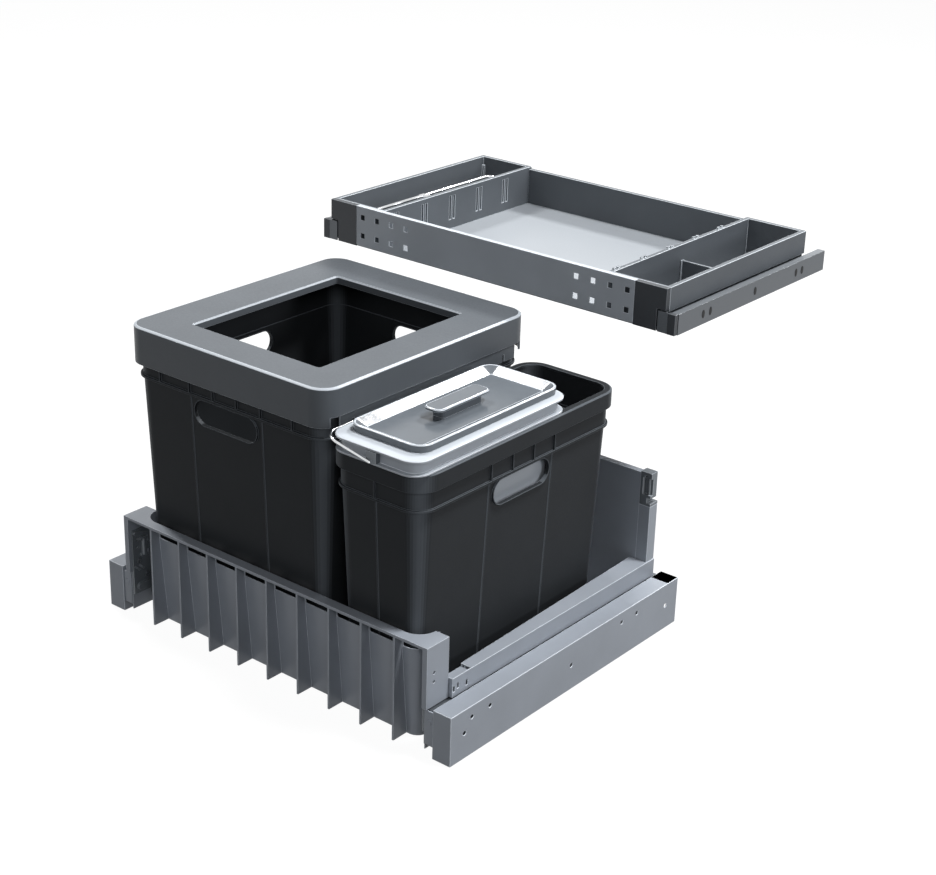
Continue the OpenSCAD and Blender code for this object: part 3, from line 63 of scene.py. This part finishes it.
# Camera
# A 71 mm lens on a 36 mm frame, high on the right of the unit's front, as in the photograph.
# It looks 38.7 degrees to the left of straight in and 23.3 degrees down, with a small roll.
view_azimuth = math.radians(38.66)
view_drop = math.radians(23.3)
view_roll = math.radians(1.68)
eye = Vector((1371.2, -1347.7, 1143.1)) * mm
sight = Vector((
    -math.sin(view_azimuth) * math.cos(view_drop),
    math.cos(view_azimuth) * math.cos(view_drop),
    -math.sin(view_drop),
))
lens = bpy.data.cameras.new("studio_camera")
lens.sensor_width, lens.lens = 36.0, 71.42
camera = bpy.data.objects.new("studio_camera", lens)
bpy.context.scene.collection.objects.link(camera)
camera.location = eye
camera.rotation_mode = "QUATERNION"
level_view = sight.to_track_quat("-Z", "Y")
camera.rotation_quaternion = level_view @ Quaternion((0, 0, 1), view_roll)
bpy.context.scene.camera = camera
bpy.context.scene.view_settings.view_transform = "Standard"


# Studio
# A white floor that runs out to a white surround. Both look white to the camera and in
# reflections, and give less light to the unit, so that its sides keep their shade. The floor
# keeps a faint shadow.
def srgb(code):
    """Linear colour of a hex value such as #A2A7AE."""
    parts = [int(code[i:i + 2], 16) / 255 for i in (1, 3, 5)]
    return [p / 12.92 if p <= 0.04045 else ((p + 0.055) / 1.055) ** 2.4 for p in parts] + [1.0]


def add(tree, kind, sockets=(), **settings):
    """Adds a node. Each socket is given a value, or the output that feeds it."""
    node = tree.nodes.new(kind)
    for name, value in settings.items():
        setattr(node, name, value)
    for key, value in dict(sockets).items():
        if isinstance(value, bpy.types.NodeSocket):
            tree.links.new(value, node.inputs[key])
        else:
            node.inputs[key].default_value = value
    return node


def seen_directly(tree):
    """1 for what the camera, a mirror or a glass shows, and 0 for scattered light."""
    rays = add(tree, "ShaderNodeLightPath").outputs
    shiny = add(tree, "ShaderNodeMath", {0: rays["Is Camera Ray"], 1: rays["Is Glossy Ray"]},
                operation="MAXIMUM")
    both = add(tree, "ShaderNodeMath", {0: shiny.outputs[0], 1: rays["Is Transmission Ray"]},
               operation="MAXIMUM")
    return both.outputs[0]


surround = bpy.data.worlds.new("studio_surround")
surround.use_nodes = True
bpy.context.scene.world = surround
tree = surround.node_tree
tree.nodes.clear()
fill_strength = 0.07
fill = add(tree, "ShaderNodeBackground", {"Color": srgb("#F4F7FB"), "Strength": fill_strength})
white = add(tree, "ShaderNodeBackground", {"Color": srgb("#FFFFFF"), "Strength": 1.0})
shown = add(tree, "ShaderNodeMixShader", {0: seen_directly(tree), 1: fill.outputs[0],
                                          2: white.outputs[0]})
add(tree, "ShaderNodeOutputWorld", {"Surface": shown.outputs[0]})

floor_half = 9.0
floor_drop = 0.3 * mm
glow_strength = 1.04
glow_share = 0.92
floor_corners = [(x * floor_half, y * floor_half, -floor_drop)
                 for x, y in ((-1, -1), (1, -1), (1, 1), (-1, 1))]
ground = bpy.data.meshes.new("studio_floor")
ground.from_pydata(floor_corners, [], [(0, 1, 2, 3)])
studio_floor = bpy.data.objects.new("studio_floor", ground)
bpy.context.scene.collection.objects.link(studio_floor)
paper = bpy.data.materials.new("matt_white_paper")
paper.use_nodes = True
tree = paper.node_tree
tree.nodes.clear()
shade = add(tree, "ShaderNodeBsdfDiffuse", {"Color": srgb("#FFFFFF")})
glow = add(tree, "ShaderNodeEmission", {"Color": srgb("#FFFFFF"), "Strength": glow_strength})
pale = add(tree, "ShaderNodeMixShader", {0: glow_share, 1: shade.outputs[0], 2: glow.outputs[0]})
bounce = add(tree, "ShaderNodeBsdfDiffuse", {"Color": srgb("#3C3E40")})
shown = add(tree, "ShaderNodeMixShader", {0: seen_directly(tree), 1: bounce.outputs[0],
                                          2: pale.outputs[0]})
add(tree, "ShaderNodeOutputMaterial", {"Surface": shown.outputs[0]})
ground.materials.append(paper)


# Lamps
# Small crisp boxes stand behind the unit and to its left, where the lid's slopes mirror them.
# A softer one overhead reaches the rails and shelves, and one lifts the right-hand sides.
# Two faint ones keep the fronts from going black.
target = Vector((0.0, 0.33, 0.22))
# Each has a direction from the unit, then metres away, width and height, watts and a colour.
soft_boxes = {
    "back_box": ((0.00, 0.72, 0.70), 3.2, 0.45, 0.45, 98.0, "#FFFFFF"),
    "left_box": ((-0.57, 0.07, 0.81), 3.2, 0.45, 0.45, 56.0, "#FFFFFF"),
    "overhead_box": ((0.36, 0.14, 0.92), 3.4, 0.7, 0.7, 112.0, "#FAFCFF"),
    "right_box": ((0.93, 0.18, 0.30), 3.4, 0.6, 0.6, 27.0, "#F6F9FF"),
    "front_box": ((-0.04, -0.97, 0.22), 3.4, 1.0, 0.8, 10.0, "#F6F9FF"),
    "quarter_box": ((0.60, -0.62, 0.50), 3.4, 0.8, 0.8, 15.0, "#F6F9FF"),
}
for name, (way, distance, width, height, power, colour) in soft_boxes.items():
    light = bpy.data.lights.new(name, "AREA")
    light.shape, light.size, light.size_y = "RECTANGLE", width, height
    light.energy, light.color = power, srgb(colour)[:3]
    lamp = bpy.data.objects.new(name, light)
    lamp.location = target + Vector(way).normalized() * distance
    lamp.rotation_mode = "QUATERNION"
    lamp.rotation_quaternion = (-Vector(way)).to_track_quat("-Z", "Y")
    bpy.context.scene.collection.objects.link(lamp)


# Cabinet rails
# Two channels with closed fronts, folded from 1.5 mm sheet and screwed to the cabinet's sides.
# They are powder coated light grey, a satin coat with a fine orange peel, and a painted highlight,
# a paler colour, lies on their rounded folds.
def eased(node, radius, material, smooth=34, crease=50, painted_slope_rise=None, corner=0.0):
    """A copy of a CAD piece with its sharp edges rounded off to a real edge radius.

    Edges that turn by more degrees than smooth are rounded, and crease keeps a turn crisp in the
    shading. The rounded edges are flagged for a painted highlight, a paler colour in the material,
    and so is any face whose normal's rise lies in the given range for sloped faces. Upright round
    corners are flagged too, up to the share given as corner, for a painted sheen.
    """
    weld_distance = 3e-6
    flat_angle = math.radians(0.4)
    normal_weight = 60
    mesh = bmesh.new()
    mesh.from_mesh(frame["nodes"][node].data)
    bmesh.ops.remove_doubles(mesh, verts=mesh.verts, dist=weld_distance)
    bmesh.ops.dissolve_limit(mesh, angle_limit=flat_angle, verts=mesh.verts, edges=mesh.edges)
    # Each face's share of painted highlight and painted sheen, laid on by the material as a paler
    # colour.
    edge_share = mesh.faces.layers.float.new("rounded")
    sharp_turn = math.radians(smooth)
    sharp = [e for e in mesh.edges if e.is_manifold and e.calc_face_angle() > sharp_turn]
    rounded = set()
    if sharp and radius > 0:
        made = bmesh.ops.bevel(mesh, geom=sharp, offset=radius, offset_type="OFFSET",
                               segments=2, profile=0.5, affect="EDGES", clamp_overlap=False,
                               miter_outer="SHARP", miter_inner="SHARP")
        rounded = set(made["faces"])
    # Rounded edges and sloped faces take the full painted highlight.
    for face in mesh.faces:
        face.smooth = True
        on_painted_slope = painted_slope_rise is not None and painted_slope_rise[0] < face.normal.z < painted_slope_rise[1]
        # turn is 1 on upright faces that look diagonally, so corner paints a sheen round upright
        # corners.
        turn = 2 * abs(face.normal.x * face.normal.y)
        face[edge_share] = 1.0 if on_painted_slope or face in rounded else corner * turn ** 2
    name = node + "_finish"
    data = bpy.data.meshes.new(name)
    mesh.to_mesh(data)
    mesh.free()
    # The shares go to the mesh as a corner attribute, so that the material can lay the painted
    # highlight.
    highlight_layer = data.attributes.new("edge", "FLOAT", "CORNER")
    flags = [0.0] * len(data.polygons)
    data.attributes["rounded"].data.foreach_get("value", flags)
    corner_flags = [flags[p.index] for p in data.polygons for _ in p.loop_indices]
    highlight_layer.data.foreach_set("value", corner_flags)
    data.set_sharp_from_angle(angle=math.radians(crease))
    piece = bpy.data.objects.new(name, data)
    bpy.context.scene.collection.objects.link(piece)
    normals = piece.modifiers.new("flat_faces", "WEIGHTED_NORMAL")
    normals.keep_sharp, normals.weight = True, normal_weight
    data.materials.append(material)
    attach(piece, frame["nodes"][node]["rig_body"])
    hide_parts(node)
    return piece


def finish(name, colour, edge_colour, roughness, grain, depth, clouding=0.06, **shader):
    """A moulded, coated or cast surface: fine grain in relief, faint clouding and a paler colour
    painted as a highlight on flagged faces.

    The grain's size and depth are lengths. Clouding is the share by which the colour wanders.
    """
    noise_low, noise_high = 0.3, 0.7
    cloud_size = 70 * mm
    roughness_swing = 0.05
    relief_strength = 0.5
    material = bpy.data.materials.new(name)
    material.use_nodes = True
    tree = material.node_tree
    tree.nodes.clear()
    place = add(tree, "ShaderNodeTexCoord").outputs["Object"]
    fine = add(tree, "ShaderNodeTexNoise", {"Vector": place, "Scale": 1 / grain, "Detail": 2.0,
                                            "Roughness": 0.55})
    broad = add(tree, "ShaderNodeTexNoise", {"Vector": place, "Scale": 1 / cloud_size,
                                             "Detail": 3.0})
    cloud = add(tree, "ShaderNodeMapRange", {"Value": broad.outputs[0],
                                             "From Min": noise_low, "From Max": noise_high,
                                             "To Min": 1 - clouding, "To Max": 1 + clouding})
    flat = add(tree, "ShaderNodeMix", {"Factor": 1.0, "A": srgb(colour), "B": cloud.outputs[0]},
               data_type="RGBA", blend_type="MULTIPLY")
    # Painted highlight: the faces that eased flags take the paler second colour.
    edge = add(tree, "ShaderNodeAttribute", attribute_name="edge")
    coat = add(tree, "ShaderNodeMix", {"Factor": edge.outputs["Fac"], "A": flat.outputs["Result"],
                                       "B": srgb(edge_colour)}, data_type="RGBA")
    dull = add(tree, "ShaderNodeMapRange", {"Value": fine.outputs[0],
                                            "From Min": noise_low, "From Max": noise_high,
                                            "To Min": roughness - roughness_swing,
                                            "To Max": roughness + roughness_swing})
    relief = add(tree, "ShaderNodeBump", {"Height": fine.outputs[0], "Distance": depth,
                                          "Strength": relief_strength})
    surface = add(tree, "ShaderNodeBsdfPrincipled", {"Base Color": coat.outputs["Result"],
                                                     "Roughness": dull.outputs[0],
                                                     "Normal": relief.outputs[0]})
    for socket, value in shader.items():
        surface.inputs[socket.replace("_", " ")].default_value = value
    add(tree, "ShaderNodeOutputMaterial", {"Surface": surface.outputs[0]})
    return material


rail_fold = 0.8 * mm
light_coat = finish("light_grey_powder_coat", "#9DA2A9", "#D5DADF", roughness=0.40,
                    grain=1.6 * mm, depth=0.02 * mm, Specular_IOR_Level=0.35)
for node in ("left_cabinet_rail", "right_cabinet_rail"):
    eased(node, rail_fold, light_coat)


# Lower slides
# Roll-formed from 1.2 mm strip, then zinc plated: a dull grey with the rolls' long draw marks.
# Each has a cabinet member, a middle member and a tray member, with balls in pressed cages
# between them.
def plated(name, colour, roughness, mark_width, metal=1.0):
    """Plated steel. Its draw marks run along Y, and are wider than real so that they show."""
    mark_stretch = 0.02
    darkest, palest = 0.86, 1.08
    roughness_swing = 0.08
    material = bpy.data.materials.new(name)
    material.use_nodes = True
    tree = material.node_tree
    tree.nodes.clear()
    place = add(tree, "ShaderNodeTexCoord").outputs["Object"]
    drawn = add(tree, "ShaderNodeMapping", {"Vector": place, "Scale": (1.0, mark_stretch, 1.0)})
    marks = add(tree, "ShaderNodeTexNoise", {"Vector": drawn.outputs[0], "Scale": 1 / mark_width,
                                             "Detail": 3.0})
    tone = add(tree, "ShaderNodeMapRange", {"Value": marks.outputs[0],
                                            "To Min": darkest, "To Max": palest})
    marked = add(tree, "ShaderNodeMix", {"Factor": 1.0, "A": srgb(colour), "B": tone.outputs[0]},
                 data_type="RGBA", blend_type="MULTIPLY")
    dull = add(tree, "ShaderNodeMapRange", {"Value": marks.outputs[0],
                                            "To Min": roughness - roughness_swing,
                                            "To Max": roughness + roughness_swing})
    surface = add(tree, "ShaderNodeBsdfPrincipled", {"Base Color": marked.outputs["Result"],
                                                     "Roughness": dull.outputs[0],
                                                     "Metallic": metal})
    add(tree, "ShaderNodeOutputMaterial", {"Surface": surface.outputs[0]})
    return material


strip_edge = 0.25 * mm
zinc_plate = plated("zinc_plated_strip", "#5E6266", roughness=0.40, mark_width=2.2 * mm,
                    metal=0.35)
cage_plate = plated("pressed_cage_steel", "#5A5D61", roughness=0.45, mark_width=2.2 * mm,
                    metal=0.35)
for side in ("left", "right"):
    for member in ("cabinet", "middle", "tray"):
        piece = eased(f"{side}_lower_{member}_member", strip_edge, zinc_plate)
cage_edge = 0
for node in ("lower_outer_ball_cages", "lower_inner_ball_cages"):
    eased(node, cage_edge, cage_plate)


# Slide end caps
# A small plate on the front end of each tray member, which hides the open end of the slide.
# Cut from the tray's sheet and coated with it, with a tapered button in the same coat.
def slide_cap(name, corner, far_corner, button_centre, material):
    """A thin plate between two corners with rounded edges, and a round button on its front."""
    plate_edge = 0.4 * mm
    button_radius, button_tip_radius, button_depth = 4.0 * mm, 3.2 * mm, 1.4 * mm
    crease = math.radians(40)
    mesh = bmesh.new()
    made = bmesh.ops.create_cube(mesh, size=1.0)
    for vert in made["verts"]:
        vert.co = Vector([a + (b - a) * (c + 0.5) for a, b, c in zip(corner, far_corner, vert.co)])
    bmesh.ops.bevel(mesh, geom=list(mesh.edges), offset=plate_edge, segments=2, profile=0.5,
                    affect="EDGES")
    to_front = Quaternion((1, 0, 0), math.radians(90)).to_matrix().to_4x4()
    to_front.translation = button_centre
    bmesh.ops.create_cone(mesh, cap_ends=True, segments=32, radius1=button_radius,
                          radius2=button_tip_radius, depth=button_depth, matrix=to_front)
    for face in mesh.faces:
        face.smooth = True
    data = bpy.data.meshes.new(name)
    mesh.to_mesh(data)
    mesh.free()
    data.set_sharp_from_angle(angle=crease)
    data.materials.append(material)
    piece = bpy.data.objects.new(name, data)
    bpy.context.scene.collection.objects.link(piece)
    return piece


cap_inner, cap_outer = 241.2 * mm, 254.6 * mm
cap_front, cap_rear = 1.5 * mm, 3.6 * mm
cap_bottom, cap_top = 14.0 * mm, 58.0 * mm
button_x, button_y, button_z = 248.5, 1.3, 44.0
for side, way in (("left", -1), ("right", 1)):
    x_low, x_high = sorted((way * cap_inner, way * cap_outer))
    button_centre = Vector((way * button_x, button_y, button_z)) * mm
    cap = slide_cap(f"{side}_slide_end_cap", (x_low, cap_front, cap_bottom),
                    (x_high, cap_rear, cap_top), button_centre, light_coat)
    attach(cap, frame["nodes"][f"{side}_lower_tray_member"]["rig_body"])


# Tray sides and floor
# Each side is one folded sheet: a wall on the slide, a shelf over it, a skin outside and a
# tapering lip. The floor is a flat sheet that drops in on the sides' flanges. Same coat as the
# rails.
sheet_fold = 0.5 * mm
# The coat's painted highlight lies on their rounded folds.
for node in ("left_tray_side", "right_tray_side", "tray_floor"):
    eased(node, sheet_fold, light_coat)


# Front panel
# A die-cast front with nine ribs and a slot at the top of each bay. It is coated like the tray,
# and its rounded edges, the ribs' thin front edges among them, carry a painted highlight in a
# paler colour.
panel_edge = 0.3 * mm
eased("front_panel", panel_edge, light_coat)


# Front brackets and adjusting screws
# Zinc castings with a sandy skin, one at each end of the panel, that set the height of the door
# front. Their screws are plated like the slides.
bracket_edge = 0.12 * mm
screw_edge = 0.25 * mm
# Its paler second colour is a painted highlight on the rounded edges.
cast_zinc = finish("cast_zinc_skin", "#6F7478", "#A4A9AE", roughness=0.48, grain=1.2 * mm,
                   depth=0.03 * mm, Metallic=0.3)
for node in ("left_front_bracket", "right_front_bracket"):
    eased(node, bracket_edge, cast_zinc)
eased("adjusting_screws", screw_edge, zinc_plate)


# Back panel, posts and clips
# Folded sheet between two posts, all in the tray's coat. A cast clip with two pins sits on top
# of each post.
clip_edge = 0.4 * mm
# The coat's painted highlight lies on their rounded folds.
for node in ("back_panel", "left_rear_post", "right_rear_post"):
    eased(node, sheet_fold, light_coat)
for node in ("left_rear_clip", "right_rear_clip"):
    eased(node, clip_edge, cast_zinc)


# Large bin
# Injection-moulded polypropylene, anthracite, with a finely eroded skin that is dull face-on.
# Its beads, rounded edges and sloped faces carry a painted highlight, and its upright corners a
# painted sheen, both in a paler colour.
bin_edge = 0.5 * mm
bin_shading = {"smooth": 24, "crease": 24, "painted_slope_rise": (0.5, 0.97)}
bin_skin = finish("moulded_anthracite_polypropylene", "#303234", "#5E6266", roughness=0.46,
                  grain=2.4 * mm, depth=0.02 * mm, Specular_IOR_Level=0.05)
eased("large_bin", bin_edge, bin_skin, corner=1.0, **bin_shading)


# Bag frame
# A moulded frame in mid grey that presses the bag over the bin's rim. Its upper edges are
# rounded, and they and its sloped faces carry a painted highlight in a paler colour.
frame_skin = finish("moulded_slate_polypropylene", "#52565A", "#A6ABB0", roughness=0.42,
                    grain=2.4 * mm, depth=0.01 * mm, Specular_IOR_Level=0.22)
eased("bag_frame", bin_edge, frame_skin, **bin_shading)


# Small bin and its cross bar
# The same moulding material as the large bin, with a bar across it behind the caddy. Both have
# the large bin's painted highlight on edges and slopes and its painted sheen round the corners.
for node in ("small_bin", "bin_cross_bar"):
    eased(node, bin_edge, bin_skin, corner=1.0, **bin_shading)


# Caddy
# A pale polypropylene bucket that hangs in the small bin, smoother than the bins. Two small
# clips on its ends hold the bail.
caddy_edge = 0.4 * mm
bail_clip_edge = 0.3 * mm
# Its paler second colour is a painted highlight on the rounded edges.
caddy_skin = finish("moulded_pale_polypropylene", "#B2B7BC", "#E6E9EC", roughness=0.34,
                    grain=24.0 * mm, depth=0.001 * mm, clouding=0.01, Specular_IOR_Level=0.3)
eased("caddy", caddy_edge, caddy_skin)
eased("bail_clips", bail_clip_edge, cast_zinc)


# Bail
# One length of 3 mm wire, bent and chromed. Drawn wire is round, so it has no edge to ease.
no_edge = 0
chrome = plated("chromed_wire", "#D8DADC", roughness=0.16, mark_width=4.0 * mm)
eased("caddy_bail", no_edge, chrome)


# Caddy lid and knob
# Moulded in a polished grey close to the bag frame's, with a dished top whose sloping border
# mirrors the lamps.
lid_edge = 0.5 * mm
# Its paler second colour is a painted highlight on the rounded edges.
lid_skin = finish("polished_slate_polypropylene", "#5A5F64", "#C9CED3", roughness=0.19,
                  grain=9.0 * mm, depth=0.001 * mm)
for node in ("caddy_lid", "lid_knob"):
    eased(node, lid_edge, lid_skin, smooth=20, crease=20)


# Upper slides
# Slimmer slides of the same plated strip, screwed straight to the cabinet's walls. A black
# moulded bumper stands in front of each.
for side in ("left", "right"):
    for member in ("cabinet", "middle", "drawer"):
        piece = eased(f"{side}_upper_{member}_member", strip_edge, zinc_plate)
for node in ("upper_outer_ball_cages", "upper_inner_ball_cages"):
    eased(node, cage_edge, cage_plate)
moulded_edge = 0.5 * mm
# Its paler second colour is a painted highlight on the rounded edges.
black_skin = finish("moulded_black_nylon", "#33363A", "#6A6E72", roughness=0.44,
                    grain=2.4 * mm, depth=0.04 * mm, Specular_IOR_Level=0.35)
for node in ("left_slide_bumper", "right_slide_bumper"):
    eased(node, moulded_edge, black_skin)


# Runner screws
# Black oval cups in the runners' outer faces, each with a crossed recess. Instances of one cup
# on five points a side, in the runner's own row of holes.
def cup_tree():
    """Node tree that sets an oval cup with a crossed recess on every point that it's given."""
    half = 0.5
    quarter_turn = math.radians(90)
    rim_sides = 32
    tree = bpy.data.node_groups.new("crossed_cups", "GeometryNodeTree")
    tree.interface.new_socket("Points", in_out="INPUT", socket_type="NodeSocketGeometry")
    for name in ("Width", "Height", "Thickness", "Recess Width", "Recess Length"):
        tree.interface.new_socket(name, in_out="INPUT", socket_type="NodeSocketFloat")
    tree.interface.new_socket("Material", in_out="INPUT", socket_type="NodeSocketMaterial")
    tree.interface.new_socket("Geometry", in_out="OUTPUT", socket_type="NodeSocketGeometry")
    given = add(tree, "NodeGroupInput").outputs
    half_w = add(tree, "ShaderNodeMath", {0: given["Width"], 1: half}, operation="MULTIPLY")
    half_h = add(tree, "ShaderNodeMath", {0: given["Height"], 1: half}, operation="MULTIPLY")
    disc = add(tree, "GeometryNodeMeshCylinder", {"Vertices": rim_sides, "Radius": 1.0,
                                                  "Depth": 1.0})
    upright = add(tree, "GeometryNodeTransform", {"Geometry": disc.outputs["Mesh"],
                                                  "Rotation": (0.0, quarter_turn, 0.0)})
    size = add(tree, "ShaderNodeCombineXYZ", {"X": given["Thickness"], "Y": half_w.outputs[0],
                                              "Z": half_h.outputs[0]})
    oval = add(tree, "GeometryNodeTransform", {"Geometry": upright.outputs[0],
                                               "Scale": size.outputs[0]})
    upright_arm = add(tree, "ShaderNodeCombineXYZ", {"X": given["Thickness"],
                                                     "Y": given["Recess Width"],
                                                     "Z": given["Recess Length"]})
    level_arm = add(tree, "ShaderNodeCombineXYZ", {"X": given["Thickness"],
                                                   "Y": given["Recess Length"],
                                                   "Z": given["Recess Width"]})
    bars = [add(tree, "GeometryNodeMeshCube", {"Size": arm.outputs[0]})
            for arm in (upright_arm, level_arm)]
    lift = add(tree, "ShaderNodeCombineXYZ", {"X": given["Thickness"]})
    cut = oval.outputs[0]
    for bar in bars:
        placed = add(tree, "GeometryNodeTransform", {"Geometry": bar.outputs["Mesh"],
                                                     "Translation": lift.outputs[0]})
        taken = add(tree, "GeometryNodeMeshBoolean", {0: cut, 1: placed.outputs[0]},
                    operation="DIFFERENCE")
        cut = taken.outputs["Mesh"]
    cups = add(tree, "GeometryNodeInstanceOnPoints", {"Points": given["Points"], "Instance": cut})
    solid = add(tree, "GeometryNodeRealizeInstances", {0: cups.outputs["Instances"]})
    dressed = add(tree, "GeometryNodeSetMaterial", {"Geometry": solid.outputs[0],
                                                    "Material": given["Material"]})
    add(tree, "NodeGroupOutput", {"Geometry": dressed.outputs[0]})
    return tree


cup_nodes = cup_tree()
cup_skin = finish("moulded_jet_black_nylon", "#0B0C0D", "#141516", roughness=0.42,
                  grain=2.4 * mm, depth=0.01 * mm, Specular_IOR_Level=0.2)
cup_inputs = {"Width": 5.6 * mm, "Height": 10.5 * mm, "Thickness": 0.6 * mm,
              "Recess Width": 1.1 * mm, "Recess Length": 4.2 * mm, "Material": cup_skin}
runner_front, runner_length = 402.0 * mm, 343.0 * mm
wall_x, hole_height = 281.0 * mm, 412.0 * mm
hole_shares = (0.157, 0.203, 0.501, 0.791, 0.835)
for side, way in (("left", -1), ("right", 1)):
    holes = [(way * wall_x, runner_front + share * runner_length, hole_height)
             for share in hole_shares]
    points = bpy.data.meshes.new(f"{side}_cup_points")
    points.from_pydata(holes, [], [])
    holder = bpy.data.objects.new(f"{side}_cup_points", points)
    bpy.context.scene.collection.objects.link(holder)
    maker = holder.modifiers.new("cups", "NODES")
    maker.node_group = cup_nodes
    for socket in cup_nodes.interface.items_tree:
        if socket.name in cup_inputs:
            maker[socket.identifier] = cup_inputs[socket.name]
    bpy.context.view_layer.update()
    seen = holder.evaluated_get(bpy.context.evaluated_depsgraph_get())
    data = bpy.data.meshes.new_from_object(seen)
    data.name = f"{side}_runner_cups"
    bpy.data.objects.remove(holder)
    cups = bpy.data.objects.new(f"{side}_runner_cups", data)
    bpy.context.scene.collection.objects.link(cups)
    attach(cups, frame["nodes"][f"{side}_upper_cabinet_member"]["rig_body"])


# Drawer floor
# A pale coated sheet, smooth enough to wipe, that the side modules stand on. The lamps behind it
# make it nearly white.
floor_edge = 0.4 * mm
# Its paler second colour is a painted highlight on the rounded edges.
floor_coat = finish("pale_powder_coat", "#8E9296", "#D8DCE0", roughness=0.36,
                    grain=2.0 * mm, depth=0.02 * mm, clouding=0.015)
eased("drawer_floor", floor_edge, floor_coat)


# Front rail and end caps
# A folded steel rail in a satin grey coat, punched with square holes, between two black moulded
# caps.
# Its paler second colour is a painted highlight on the rounded edges.
rail_coat = finish("slate_powder_coat", "#ABB0B5", "#D0D5DA", roughness=0.40,
                   grain=1.6 * mm, depth=0.02 * mm)
eased("drawer_front_rail", sheet_fold, rail_coat)
for node in ("left_end_cap", "right_end_cap"):
    eased(node, moulded_edge, black_skin)


# Side modules, divider and back
# Moulded frames in mid grey that form the drawer's sides, with a loose divider in the right
# one, and the back between them in the same plastic.
# Its paler second colour is a painted highlight on the rounded edges.
module_skin = finish("moulded_grey_abs", "#585C60", "#C4C9CD", roughness=0.42,
                     grain=2.4 * mm, depth=0.02 * mm, Specular_IOR_Level=0.2)
for node in ("left_side_module", "right_side_module", "cross_divider", "drawer_back"):
    eased(node, moulded_edge, module_skin)


# Roll bars
# Two chromed rods in line on a bracket in the left module, which a roll of bags hangs on. They
# have the bail's finish and, being round, no edge to ease.
eased("roll_bars", no_edge, chrome)
